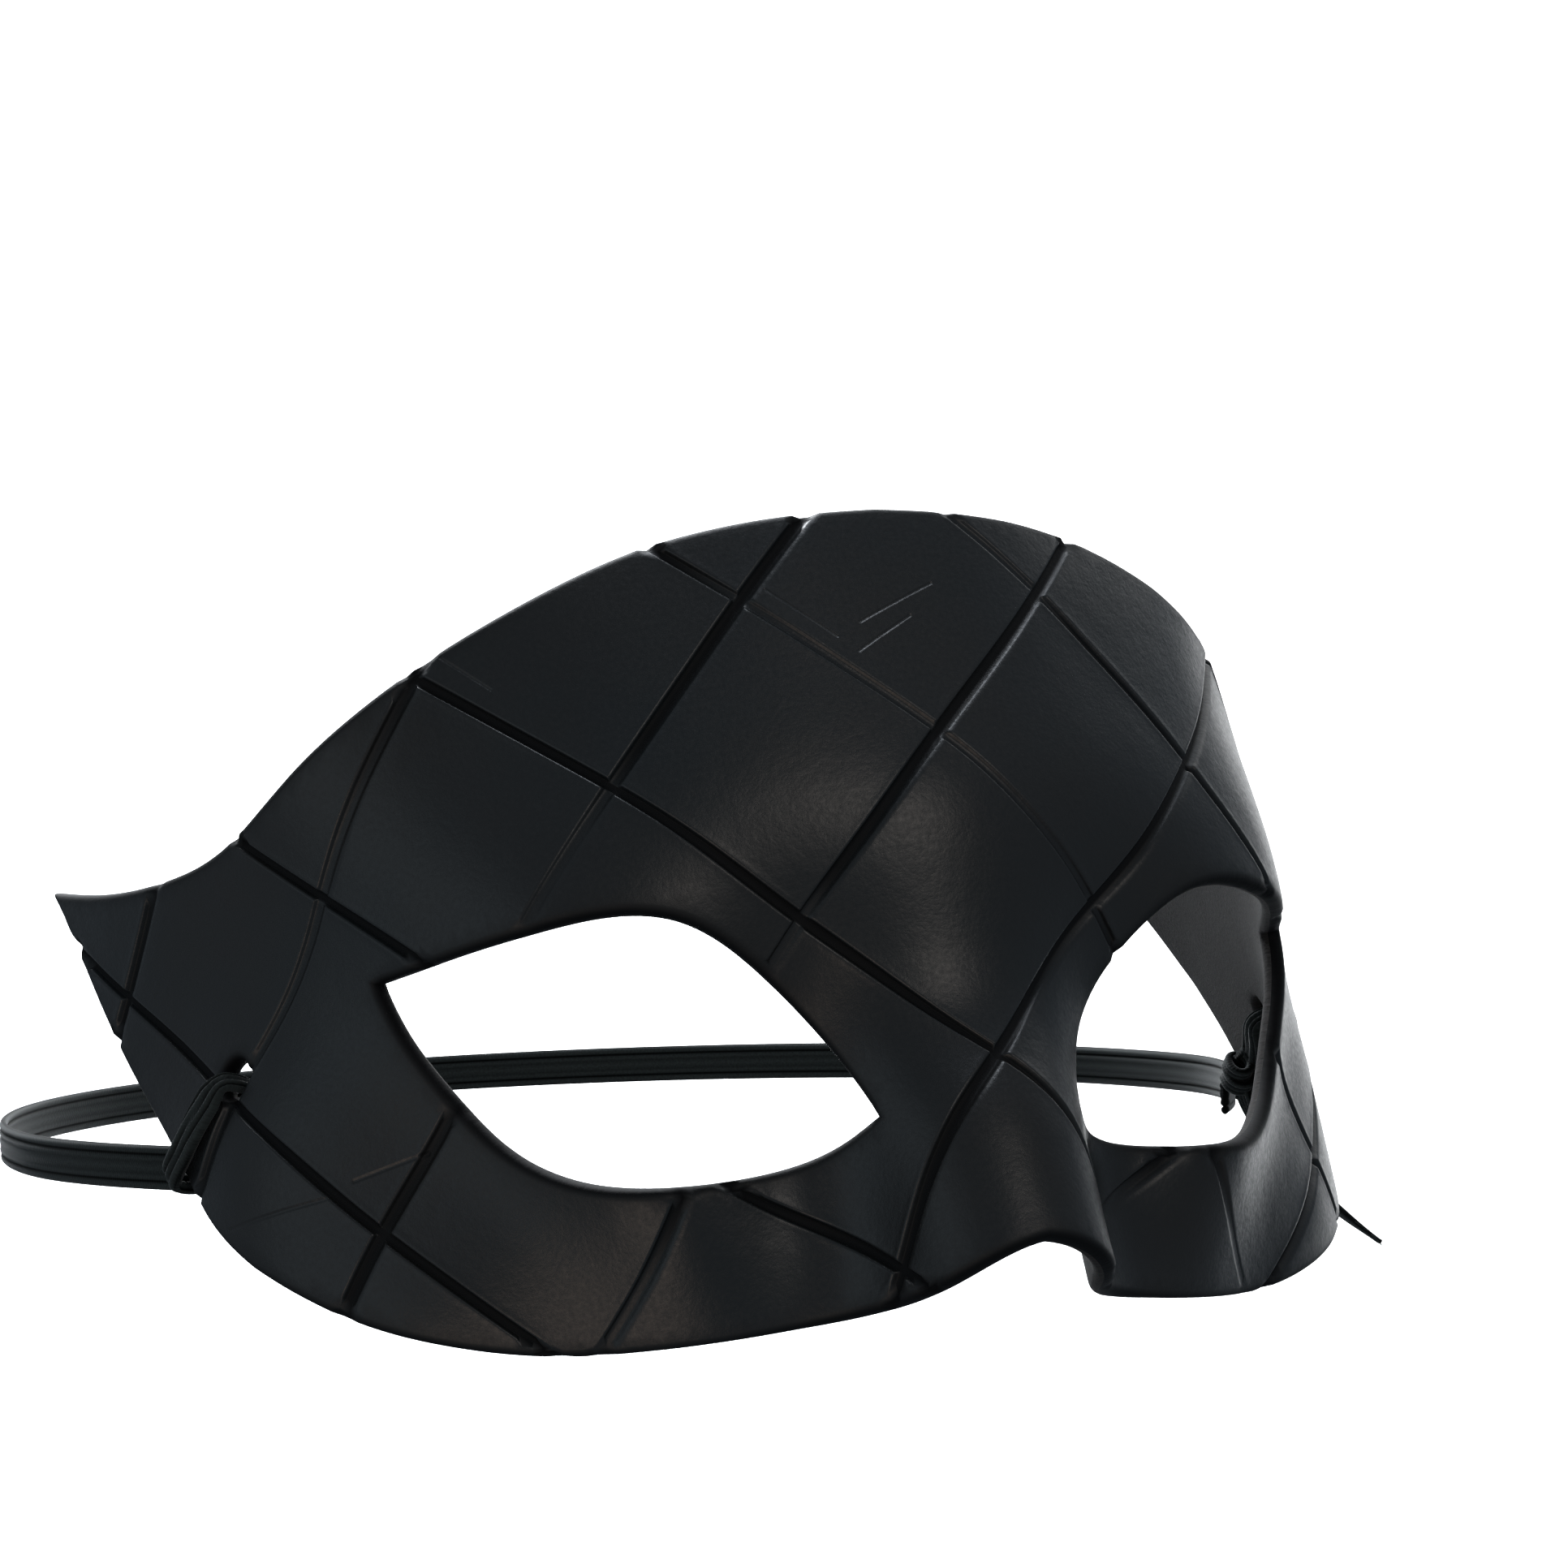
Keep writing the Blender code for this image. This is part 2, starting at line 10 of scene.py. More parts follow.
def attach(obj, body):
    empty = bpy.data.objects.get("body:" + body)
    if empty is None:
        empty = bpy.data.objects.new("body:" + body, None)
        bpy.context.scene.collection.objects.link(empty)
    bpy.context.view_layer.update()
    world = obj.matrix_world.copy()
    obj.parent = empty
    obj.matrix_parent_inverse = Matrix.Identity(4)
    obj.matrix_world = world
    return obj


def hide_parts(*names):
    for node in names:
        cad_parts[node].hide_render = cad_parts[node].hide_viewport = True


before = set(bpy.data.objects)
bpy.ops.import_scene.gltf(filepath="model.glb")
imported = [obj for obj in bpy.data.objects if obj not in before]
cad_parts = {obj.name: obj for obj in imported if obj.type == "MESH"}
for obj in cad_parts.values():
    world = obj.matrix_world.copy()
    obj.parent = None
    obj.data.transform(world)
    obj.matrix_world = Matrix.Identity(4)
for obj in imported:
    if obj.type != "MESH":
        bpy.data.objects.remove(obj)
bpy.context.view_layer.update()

bpy.context.scene.view_settings.view_transform = "Standard"
MM = 0.001

# Camera. The mask is seen from its wearer's right, level with the brow and about half a metre away.
# The camera is held a little askew, which tips the picture to the right.
CAMERA_PLACE = (-0.2012, -0.4081, 0.0316)
CAMERA_TURN = 23.7
CAMERA_PITCH = -0.2
CAMERA_ROLL = 2.26
SENSOR_WIDTH = 36.0
PICTURE_WIDTH = 1932
FOCUS_PIXELS = 5392

camera = bpy.data.objects.new("camera", bpy.data.cameras.new("camera"))
bpy.context.scene.collection.objects.link(camera)
bpy.context.scene.camera = camera
camera.data.sensor_width = SENSOR_WIDTH
camera.data.lens = FOCUS_PIXELS / PICTURE_WIDTH * SENSOR_WIDTH
camera.data.clip_start = 0.01
camera.matrix_world = (
    Matrix.Translation(CAMERA_PLACE)
    @ Matrix.Rotation(np.radians(-CAMERA_TURN), 4, "Z")
    @ Matrix.Rotation(np.radians(90 + CAMERA_PITCH), 4, "X")
    @ Matrix.Rotation(np.radians(-CAMERA_ROLL), 4, "Z")
)


# Mask. One piece of vegetable-tanned leather is cut out flat, its grain side is carved with a grid of
# diamonds, and the edges are rounded and burnished. It is bent over the face while wet and sets that way.
HALF_GIRTH = 122.0
FOREHEAD = 64.0
NOSE = 22.0
LEATHER = 2.5
EDGE_RADIUS = 0.95
DIAMOND = 25.4
GROOVE_DEPTH = 0.66
GROOVE_FLOOR = 0.36
GROOVE_HALF = 0.66
BEVEL_HALF = 1.25
LIP_HEIGHT = 0.06
LIP_PLACE = 0.86
LIP_WIDTH = 0.24
EYE_LENGTH = 53.0
EYE_HEIGHT = 28.5
EYE_INNER_GIRTH = 15.0
EYE_INNER_DROP = 3.5
TIE_NECK = 2.2
TIE_SEAT = 0.65
TIE_THICKNESS = 1.5
CLEARANCE = 0.35
HOLE_GIRTH = 89.5
HOLE_HEIGHT = 20.5
HOLE_RADIUS = np.hypot(TIE_NECK / 2, TIE_SEAT + TIE_THICKNESS / 2) + CLEARANCE

# Darker, matt grain: how far it reaches in from a cut edge, how dark a groove's floor is painted as shade,
# and the power that keeps the painted shade off the groove's walls
DARK_EDGE_REACH = 0.8
GROOVE_SHADE = 0.85
FLOOR_ONLY = 4

# Soft unevenness that wetting and pressing left: how deep, how long a wave and which pattern
GRAIN_WAVES = (
    # depth, length, pattern
    (0.10, 14, 3.1),
    (0.045, 5, 8.4),
)
FLESH_WAVES = ((0.06, 4, 5.7),)
# How far the grain side may sink past the middle of the leather, and the least leather left under it
GRAIN_PAST_MIDDLE = 0.15
LEAST_WALL = 0.2

# Where the carver pressed lightly and a line is faint, and how sharply that ends
FAINT_FADE = 4
FAINT = (
    # way (0 runs down to the wearer's left, 1 climbs to it), girth, height, reach, share of the depth kept
    (0, -10, 46, 15, 0.50),
    (0, 10, 26, 15, 0.50),
    (0, 13, 59, 10, 0.45),
    (1, -45, 27, 13, 0.50),
    (1, -76, 32, 24, 0.60),
    (1, -23, 13, 9, 0.45),
    (1, -54, -18, 16, 0.65),
    (0, 50, -14, 13, 0.15),
    (1, 18, -18, 14, 0.20),
)

# Mesh fineness: rows of points between two grooves and beside a groove's middle line, rings of points
# inside a cut edge and their gap to the rows, how near two points count as one, steps along edges and
# curves, and the parts in which long sums are worked out
FILL_ROWS = 13
GROOVE_SIDE = (0.36, 0.46, 0.56, 0.66, 0.86, 1.1, 1.6)
EDGE_RINGS = (0.0, 0.12, 0.32, 0.62, 1.0)
RING_GAP = 0.25
SAME_POINT = 1e-3
EDGE_STEP = 1.1
HOLE_SIDES = 32
CURVE_SAMPLES = 800
GAP_PARTS = 40

# Edges of the blank's right half: a row for each point, as shares of HALF_GIRTH and of FOREHEAD or NOSE
TOP_EDGE = (
    # girth, height
    (0.000, 1.000),
    (0.115, 0.990),
    (0.230, 0.966),
    (0.345, 0.910),
    (0.460, 0.846),
    (0.575, 0.772),
    (0.690, 0.710),
    (0.800, 0.716),
    (0.905, 0.762),
    (0.995, 0.822),
)
SIDE_EDGE = (
    # girth, height
    (0.995, 0.822),
    (0.968, 0.730),
    (0.942, 0.620),
    (0.905, 0.455),
    (0.860, 0.300),
    (0.812, 0.155),
    (0.730, 0.000),
)
LOWER_EDGE = (
    # girth, drop below the nose bridge
    (0.730, 0.000),
    (0.650, 0.310),
    (0.560, 0.550),
    (0.465, 0.705),
    (0.370, 0.775),
    (0.270, 0.850),
    (0.175, 0.940),
    (0.090, 1.000),
    (0.000, 0.965),
)

# Eye hole: shares of EYE_LENGTH and EYE_HEIGHT from the inner corner to the outer one
EYE_UPPER = (
    # along, up
    (0.000, 0.000),
    (0.035, 0.250),
    (0.100, 0.490),
    (0.200, 0.720),
    (0.310, 0.865),
    (0.450, 0.935),
    (0.620, 0.950),
    (0.820, 0.975),
    (1.000, 1.000),
)
EYE_LOWER = (
    # along, up
    (1.000, 1.000),
    (0.965, 0.795),
    (0.900, 0.560),
    (0.795, 0.325),
    (0.660, 0.165),
    (0.500, 0.085),
    (0.330, 0.035),
    (0.150, -0.020),
    (0.000, 0.000),
)

# How the wet leather is bent, in degrees. Each section runs out from the middle line at one height of the
# blank. TURN is how far it has turned towards the back of the head at each station, and DIP how far it
# slopes down there.
STATIONS = (
    # share of HALF_GIRTH: flank, corner, lid, brow_end, socket, temple, hole, tip
    (0.066, 0.148, 0.246, 0.361, 0.467, 0.590, 0.754, 1.000)
)
TURN = (
    # height share of FOREHEAD, then flank, corner, lid, brow_end, socket, temple, hole, tip
    (-0.328, 37, 67, 31, 32, 32, 35, 56, 67),
    (-0.109, 37, 58, 0, 38, 35, 42, 63, 69),
    (0.141, 22, 28, -12, 44, 58, 39, 72, 70),
    (0.422, 10, 14, 17, 32, 55, 60, 66, 75),
    (0.703, 4, 15, 21, 34, 35, 60, 71, 79),
    (1.000, 5, 17, 19, 20, 31, 57, 76, 77),
)
# The wearer's left temple was bent further round than the right one, by this many degrees more.
LEFT_TURN = (
    # height share of FOREHEAD, then flank, corner, lid, brow_end, socket, temple, hole, tip
    (-0.328, 0, 0, 0, 0, 0, 0, 0, 0),
    (-0.109, 0, 0, 0, 0, 0, 0, 1, 2),
    (0.141, 0, 0, 0, 0, 0, 6, 3, 3),
    (0.422, 0, 0, 0, 0, 2, 6, 5, 0),
    (0.703, 0, 0, 0, 4, 16, 12, 6, 0),
    (1.000, 0, 0, 2, 12, 28, 14, 6, 0),
)
DIP = (
    # height share of FOREHEAD, then flank, corner, lid, brow_end, socket, temple, hole, tip
    (-0.328, 25, 27, 20, 12, 10, 11, 13, 15),
    (-0.109, 17, 29, 20, 11, 8, 12, 14, 16),
    (0.141, 7, 20, 13, 12, 13, 12, 18, 17),
    (0.422, 7, 9, 10, 15, 21, 16, 18, 19),
    (0.703, 4, 8, 10, 14, 18, 18, 18, 19),
    (1.000, 2, 6, 9, 12, 16, 19, 19, 18),
)
# The middle line leans back by this many degrees from upright: nose, bridge, brow and forehead
LEAN = (
    # height share of FOREHEAD, lean
    (-0.328, 28),
    (-0.156, 29),
    (0.000, 38),
    (0.141, 18),
    (0.313, 7),
    (0.531, 27),
    (0.781, 28),
    (1.000, 31),
)

# The bends add up along each section by Gauss's rule: so many places from 0 to 1, and their weights. Points
# a nudge apart, in millimetres, show which way the leather faces.
GAUSS_COUNT = 24
GAUSS_POINTS, GAUSS_WEIGHTS = np.polynomial.legendre.leggauss(GAUSS_COUNT)
GAUSS_POINTS, GAUSS_WEIGHTS = (GAUSS_POINTS + 1) / 2, GAUSS_WEIGHTS / 2
NUDGE = 0.05


def spline_weights(knots, at):
    """How much each knot's value counts at each place, on the natural cubic spline through them."""
    knots = np.asarray(knots, float)
    count, gap = len(knots), np.diff(knots)
    bends, values = np.eye(count), np.zeros((count, count))
    for i in range(1, count - 1):
        bends[i, i - 1 : i + 2] = gap[i - 1], 2 * (gap[i - 1] + gap[i]), gap[i]
        values[i, i - 1 : i + 2] = 6 / gap[i - 1], -6 / gap[i - 1] - 6 / gap[i], 6 / gap[i]
    curvature = np.linalg.solve(bends, values)
    at = np.clip(np.ravel(at), knots[0], knots[-1])
    span = np.clip(np.searchsorted(knots, at, side="right") - 1, 0, count - 2)
    right = (at - knots[span]) / gap[span]
    left = 1 - right
    weights = np.zeros((len(at), count))
    weights[np.arange(len(at)), span] = left
    weights[np.arange(len(at)), span + 1] = right
    scale = (gap[span] ** 2 / 6)[:, None]
    weights += (left**3 - left)[:, None] * scale * curvature[span]
    weights += (right**3 - right)[:, None] * scale * curvature[span + 1]
    return weights


def bent_sheet(girths, heights):
    """Where points of the blank's grain side lie once it is bent, in millimetres from the nose bridge."""
    girths, heights = np.ravel(girths).astype(float), np.ravel(heights).astype(float)
    out = np.abs(girths)
    at_station = spline_weights(
        np.r_[0.0, STATIONS] * HALF_GIRTH, out[:, None] * GAUSS_POINTS
    ).reshape(len(out), len(GAUSS_POINTS), -1)[:, :, 1:]
    rows = np.array([row[0] for row in TURN]) * FOREHEAD
    at_height = spline_weights(rows, heights)
    degrees = at_height @ np.array(TURN)[:, 1:]
    degrees += (girths > 0)[:, None] * (at_height @ np.array(LEFT_TURN)[:, 1:])
    turn = np.radians(np.einsum("psk,pk->ps", at_station, degrees))
    dip = np.radians(np.einsum("psk,pk->ps", at_station, at_height @ np.array(DIP)[:, 1:]))
    lean_rows, lean_degrees = np.array(LEAN).T
    lean = spline_weights(lean_rows * FOREHEAD, heights[:, None] * GAUSS_POINTS) @ lean_degrees
    lean = np.radians(lean.reshape(len(out), -1))
    x = out * ((np.cos(turn) * np.cos(dip)) @ GAUSS_WEIGHTS)
    y = out * ((np.sin(turn) * np.cos(dip)) @ GAUSS_WEIGHTS) + heights * (np.sin(lean) @ GAUSS_WEIGHTS)
    z = heights * (np.cos(lean) @ GAUSS_WEIGHTS) - out * (np.sin(dip) @ GAUSS_WEIGHTS)
    return np.stack([np.sign(girths) * x, y, z], axis=1)


def formed(girths, heights, depths):
    """Points of the bent leather at these depths below its grain side, and the way out of it there."""
    across = bent_sheet(girths + NUDGE, heights) - bent_sheet(girths - NUDGE, heights)
    up = bent_sheet(girths, heights + NUDGE) - bent_sheet(girths, heights - NUDGE)
    normal = np.cross(across, up)
    normal /= np.linalg.norm(normal, axis=1)[:, None]
    return bent_sheet(girths, heights) - np.ravel(depths)[:, None] * normal - NOSE_SEAT, normal


NOSE_SEAT = np.zeros(3)
NOSE_SEAT = formed(np.zeros(1), np.zeros(1), [LEATHER])[0][0]


def line_through(rows, step):
    """Evenly spaced points on the smooth curve through a table's points, the last one left out."""
    rows = np.array(rows, float)
    knots = np.r_[0.0, np.cumsum(np.hypot(*np.diff(rows, axis=0).T))]
    fine = spline_weights(knots, np.linspace(0, knots[-1], CURVE_SAMPLES)) @ rows
    along = np.r_[0.0, np.cumsum(np.hypot(*np.diff(fine, axis=0).T))]
    count = max(2, round(along[-1] / step))
    at = np.linspace(0, along[-1], count + 1)[:-1]
    return np.stack([np.interp(at, along, fine[:, 0]), np.interp(at, along, fine[:, 1])], axis=1)


def blank_outline():
    """The blank's outer edge, anticlockwise as seen from the grain side, from the middle of the top."""
    above, below = (HALF_GIRTH, FOREHEAD), (HALF_GIRTH, -NOSE)
    right = np.concatenate(
        [
            line_through(np.array(TOP_EDGE) * above, EDGE_STEP),
            line_through(np.array(SIDE_EDGE) * above, EDGE_STEP),
            line_through(np.array(LOWER_EDGE) * below, EDGE_STEP),
            [[0.0, LOWER_EDGE[-1][1] * -NOSE]],
        ]
    )
    return np.concatenate([right, right[-2:0:-1] * (-1, 1)])[::-1]


def eye_outline(side):
    """The eye hole's edge on one side (1 or -1), clockwise as seen from the grain side."""
    size = (EYE_LENGTH, EYE_HEIGHT)
    halves = [line_through(np.array(rows) * size, EDGE_STEP) for rows in (EYE_UPPER, EYE_LOWER)]
    edge = (np.concatenate(halves) + (EYE_INNER_GIRTH, -EYE_INNER_DROP)) * (side, 1)
    return edge if side > 0 else edge[::-1]


def hole_outline(side):
    """The punched strap hole on one side, clockwise as seen from the grain side."""
    angle = -np.arange(HOLE_SIDES) * 2 * np.pi / HOLE_SIDES
    ring = np.stack([np.cos(angle), np.sin(angle)], axis=1) * HOLE_RADIUS
    return ring + (side * HOLE_GIRTH, HOLE_HEIGHT)


def inset(loop, distance):
    """The loop moved into the leather, which lies on its left, and at corners up to twice as far."""
    ahead = np.roll(loop, -1, axis=0) - loop
    ahead /= np.linalg.norm(ahead, axis=1)[:, None]
    behind = np.roll(ahead, 1, axis=0)
    inward = np.stack([-(ahead + behind)[:, 1], (ahead + behind)[:, 0]], axis=1)
    inward /= np.linalg.norm(inward, axis=1)[:, None]
    half_turn = np.clip((inward * np.stack([-ahead[:, 1], ahead[:, 0]], axis=1)).sum(axis=1), 0.5, 1)
    return loop + inward * (distance / half_turn)[:, None]


def inside(points, loop):
    """Which points lie inside a closed loop."""
    x, y = points[:, :1], points[:, 1:]
    x1, y1 = loop.T
    x2, y2 = np.roll(loop, -1, axis=0).T
    crosses = (y1 > y) != (y2 > y)
    run = np.where(y2 == y1, 1, y2 - y1)
    return (crosses & (x < (x2 - x1) * (y - y1) / run + x1)).sum(axis=1) % 2 == 1


def gap_to(points, loop):
    """How far each point is from a closed loop."""
    start, step = loop, np.roll(loop, -1, axis=0) - loop
    off = points[:, None] - start
    share = np.clip((off * step).sum(axis=2) / (step**2).sum(axis=1), 0, 1)
    return np.linalg.norm(off - share[:, :, None] * step, axis=2).min(axis=1)


def gap_to_edges(points, loops):
    """How far each point is from the nearest of the cut edges, worked out in parts to save memory."""
    parts = np.array_split(points, GAP_PARTS)
    return np.min([np.concatenate([gap_to(part, loop) for part in parts]) for loop in loops], axis=0)


def flat_blank():
    """The cut blank as flat triangles, with rows of points along each groove: points, faces and edges."""
    cuts = [eye_outline(1), eye_outline(-1), hole_outline(1), hole_outline(-1)]
    edge_loops = [blank_outline(), *cuts]
    reach = int(np.ceil((HALF_GIRTH + FOREHEAD) / DIAMOND))
    centres = np.arange(-reach, reach + 1) * DIAMOND
    side = np.array(GROOVE_SIDE)
    groove_rows = (centres[:, None] + np.concatenate([-side[::-1], [0.0], side])).ravel()
    fill = side[-1] + np.arange(1, FILL_ROWS + 1) / (FILL_ROWS + 1) * (DIAMOND - 2 * side[-1])
    rows = np.concatenate([groove_rows, (centres[:-1, None] + fill).ravel()])
    # The grid runs at 45 degrees to the middle line: one way is girth + height, the other height - girth
    down, across = (axis.ravel() for axis in np.meshgrid(rows, rows))
    grid = np.stack([down - across, down + across], axis=1) / np.sqrt(2)
    grid = grid[inside(grid, edge_loops[0])]
    grid = grid[gap_to_edges(grid, edge_loops) > EDGE_RINGS[-1] + RING_GAP]
    points, edges = [], []
    for loop in edge_loops:
        for ring in EDGE_RINGS:
            first, count = len(points), len(loop)
            points += (inset(loop, ring) if ring else loop).tolist()
            edges += [(first + i, first + (i + 1) % count) for i in range(count)]
    points += grid.tolist()
    flat, _, faces, _, _, _ = delaunay_2d_cdt(points, edges, [], 0, SAME_POINT)
    flat, faces = np.array(flat), np.array(faces)
    middle = flat[faces].mean(axis=1)
    keep = inside(middle, edge_loops[0])
    for cut in cuts:
        keep &= ~inside(middle, cut)
    return flat, faces[keep], edge_loops


def smooth_step(low, high, at):
    """0 up to low, 1 from high on, and a soft climb between them."""
    share = np.clip((at - low) / (high - low), 0, 1)
    return share * share * (3 - 2 * share)


def groove_depth(points):
    """The carved grid: flat-bottomed lines with steep walls and low lips pushed up beside them. The lines
    that climb to the wearer's left have their lower wall bevelled, without a lip."""
    ways = np.stack([points.sum(axis=1), points[:, 1] - points[:, 0]]) / np.sqrt(2)
    off = ways - np.round(ways / DIAMOND) * DIAMOND
    bevelled = np.array([[False], [True]]) & (off < 0)
    off = np.abs(off)
    pressed = np.ones_like(ways)
    for way, girth, height, reach, kept in FAINT:
        near = np.exp(-((np.hypot(*(points - (girth, height)).T) / reach) ** FAINT_FADE))
        pressed[way] *= 1 - (1 - kept) * near
    wall_top = np.where(bevelled, BEVEL_HALF, GROOVE_HALF)
    cut = GROOVE_DEPTH * pressed * (1 - smooth_step(GROOVE_FLOOR, wall_top, off))
    lip = LIP_HEIGHT * pressed * ~bevelled * np.exp(-(((off - LIP_PLACE) / LIP_WIDTH) ** 2))
    deepest = cut.max(axis=0)
    return deepest - lip.max(axis=0) * (1 - deepest / GROOVE_DEPTH)


def unevenness(points, waves):
    """The sum of soft waves of these depths and lengths in millimetres, the same each run."""
    total = np.zeros(len(points))
    for depth, length, pattern in waves:
        total += [depth * noise.noise(Vector((x / length, y / length, pattern))) for x, y in points]
    return total


def mask_shell():
    """The bent leather: grain side and flesh side share one layout, joined by rounded edges."""
    flat, faces, edge_loops = flat_blank()
    sheet = bmesh.new()
    corners = [sheet.verts.new((*point, 0)) for point in flat]
    for face in faces:
        sheet.faces.new([corners[i] for i in face])
    bmesh.ops.remove_doubles(sheet, verts=sheet.verts, dist=EDGE_RINGS[1] / 4)
    loose = [vert for vert in sheet.verts if not vert.link_faces]
    bmesh.ops.delete(sheet, geom=loose, context="VERTS")
    for face in sheet.faces:
        if face.normal.z < 0:
            face.normal_flip()
    sheet.verts.index_update()
    flat = np.array([vert.co[:2] for vert in sheet.verts])
    faces = [[vert.index for vert in face.verts] for face in sheet.faces]
    rim = [
        (loop.vert.index, loop.link_loop_next.vert.index)
        for face in sheet.faces
        for loop in face.loops
        if loop.edge.is_boundary
    ]
    sheet.free()
    from_edge = gap_to_edges(flat, edge_loops)
    into_round = np.clip(EDGE_RADIUS - from_edge, 0, EDGE_RADIUS)
    rounding = EDGE_RADIUS - np.sqrt(EDGE_RADIUS**2 - into_round**2)
    groove = groove_depth(flat)
    grain_depth = rounding + groove + unevenness(flat, GRAIN_WAVES)
    grain_depth = np.minimum(grain_depth, LEATHER / 2 + GRAIN_PAST_MIDDLE)
    flesh_depth = LEATHER - rounding + unevenness(flat, FLESH_WAVES)
    flesh_depth = np.maximum(flesh_depth, grain_depth + LEAST_WALL)
    grain, _ = formed(flat[:, 0], flat[:, 1], grain_depth)
    flesh, _ = formed(flat[:, 0], flat[:, 1], flesh_depth)
    count = len(flat)
    all_faces = [list(face) for face in faces]
    all_faces += [[count + i for i in reversed(face)] for face in faces]
    all_faces += [[end, start, count + start, count + end] for start, end in rim]
    mesh = bpy.data.meshes.new("leather_mask")
    mesh.from_pydata((np.concatenate([grain, flesh]) * MM).tolist(), [], all_faces)
    mesh.shade_smooth()
    # Where each point was on the flat blank, and how dark and matt it is drawn: near a cut edge, and on a
    # groove's floor as painted shade
    blank = mesh.attributes.new("blank", "FLOAT_VECTOR", "POINT")
    place = np.c_[np.tile(flat, (2, 1)), np.zeros(2 * count)]
    blank.data.foreach_set("vector", place.astype(np.float32).ravel())
    # Near a cut edge the grain is drawn dark and matt; on a groove's floor the same darkening is painted
    # shade
    floor = np.clip(groove / GROOVE_DEPTH, 0, 1) ** FLOOR_ONLY
    dark_edge_and_groove_shade = GROOVE_SHADE * floor + np.exp(-((from_edge / DARK_EDGE_REACH) ** 2))
    cut = mesh.attributes.new("cut", "FLOAT", "POINT")
    cut.data.foreach_set("value", np.tile(np.clip(dark_edge_and_groove_shade, 0, 1), 2).astype(np.float32))
    sides = np.zeros(len(all_faces), np.int32)
    sides[len(faces) : 2 * len(faces)] = 1
    mesh.polygons.foreach_set("material_index", sides)
    made = bpy.data.objects.new("leather_mask", mesh)
    bpy.context.scene.collection.objects.link(made)
    return made


def colour(hex_code):
    """An sRGB hex colour as linear values."""
    share = np.array([int(hex_code[i : i + 2], 16) / 255 for i in (1, 3, 5)])
    linear = np.where(share <= 0.04045, share / 12.92, ((share + 0.055) / 1.055) ** 2.4)
    return (*linear, 1.0)


def add(tree, kind, links=(), **settings):
    """Adds a node. Settings are its properties or, by number or name, its sockets. Links are pairs of a
    socket and what feeds it."""
    node = tree.nodes.new(kind)
    for name, value in settings.items():
        if hasattr(node, name):
            setattr(node, name, value)
        else:
            key = int(name[1:]) if name[1:].isdigit() else name.replace("_", " ")
            node.inputs[key].default_value = value
    for socket, source in links:
        tree.links.new(source, node.inputs[socket])
    return node


def new_material(name):
    """A new material, its node tree and its surface shader."""
    made = bpy.data.materials.new(name)
    made.use_nodes = True
    return made, made.node_tree, made.node_tree.nodes["Principled BSDF"]


# Marks left on the grain side: start and end on the blank in millimetres, width in millimetres
SCRATCHES = (
    # start girth, start height, end girth, end height, width
    (-6.5, 46.0, 0.5, 50.0, 0.30),
    (-5.5, 49.5, 4.0, 54.0, 0.30),
    (-15.0, 54.5, -8.5, 48.0, 0.25),
    (-50.5, 55.0, -46.0, 50.0, 0.25),
    (-91.5, 4.5, -77.5, 4.5, 0.35),
    (-74.0, 5.5, -65.5, 6.5, 0.35),
)


def scratch_mask(tree, place, scratch):
    """1 on a scratch and 0 beside it, from the distance to its line on the blank."""
    start, end = Vector((*scratch[:2], 0)), Vector((*scratch[2:4], 0))
    way = (end - start).normalized()
    length = (end - start).length
    off = add(tree, "ShaderNodeVectorMath", [(0, place)], operation="SUBTRACT", _1=start)
    along = add(tree, "ShaderNodeVectorMath", [(0, off.outputs[0])], operation="DOT_PRODUCT", _1=way)
    held = add(tree, "ShaderNodeClamp", [(0, along.outputs["Value"])], Min=0.0, Max=length)
    foot = add(tree, "ShaderNodeVectorMath", [("Scale", held.outputs[0])], operation="SCALE", _0=way)
    gap = add(
        tree, "ShaderNodeVectorMath", [(0, off.outputs[0]), (1, foot.outputs[0])], operation="DISTANCE"
    )
    return add(
        tree,
        "ShaderNodeMapRange",
        [("Value", gap.outputs["Value"])],
        interpolation_type="SMOOTHSTEP",
        From_Min=0.0,
        From_Max=scratch[4],
        To_Min=1.0,
        To_Max=0.0,
    ).outputs[0]


# Grain side: vegetable-tanned leather, dyed black by hand and rubbed with a satin finish. The dye is cooler
# or warmer from place to place. The pores show faintly, drawn coarser than real ones so that they show at
# all. Near the cut edges the grain is drawn darker and without shine, and the grooves' floors are painted
# darker as shade and made matt.
GRAIN_PORE = 0.55
GRAIN_PEBBLE = 1.6
DYE_PATCH = 28.0

grain_leather, tree, shader = new_material("dyed_grain_leather")
place = add(tree, "ShaderNodeAttribute", attribute_name="blank").outputs["Vector"]
# How dark and matt each point is drawn, up to near black on the grooves' floors as painted shade
cut = add(tree, "ShaderNodeAttribute", attribute_name="cut").outputs["Fac"]
patch = add(tree, "ShaderNodeTexNoise", [("Vector", place)], Scale=1 / DYE_PATCH, Detail=3.0)
dye = add(tree, "ShaderNodeValToRGB", [("Fac", patch.outputs["Fac"])])
for stop, (at, tint) in zip(dye.color_ramp.elements, ((0.35, "#14181a"), (0.70, "#191817"))):
    stop.position, stop.color = at, colour(tint)
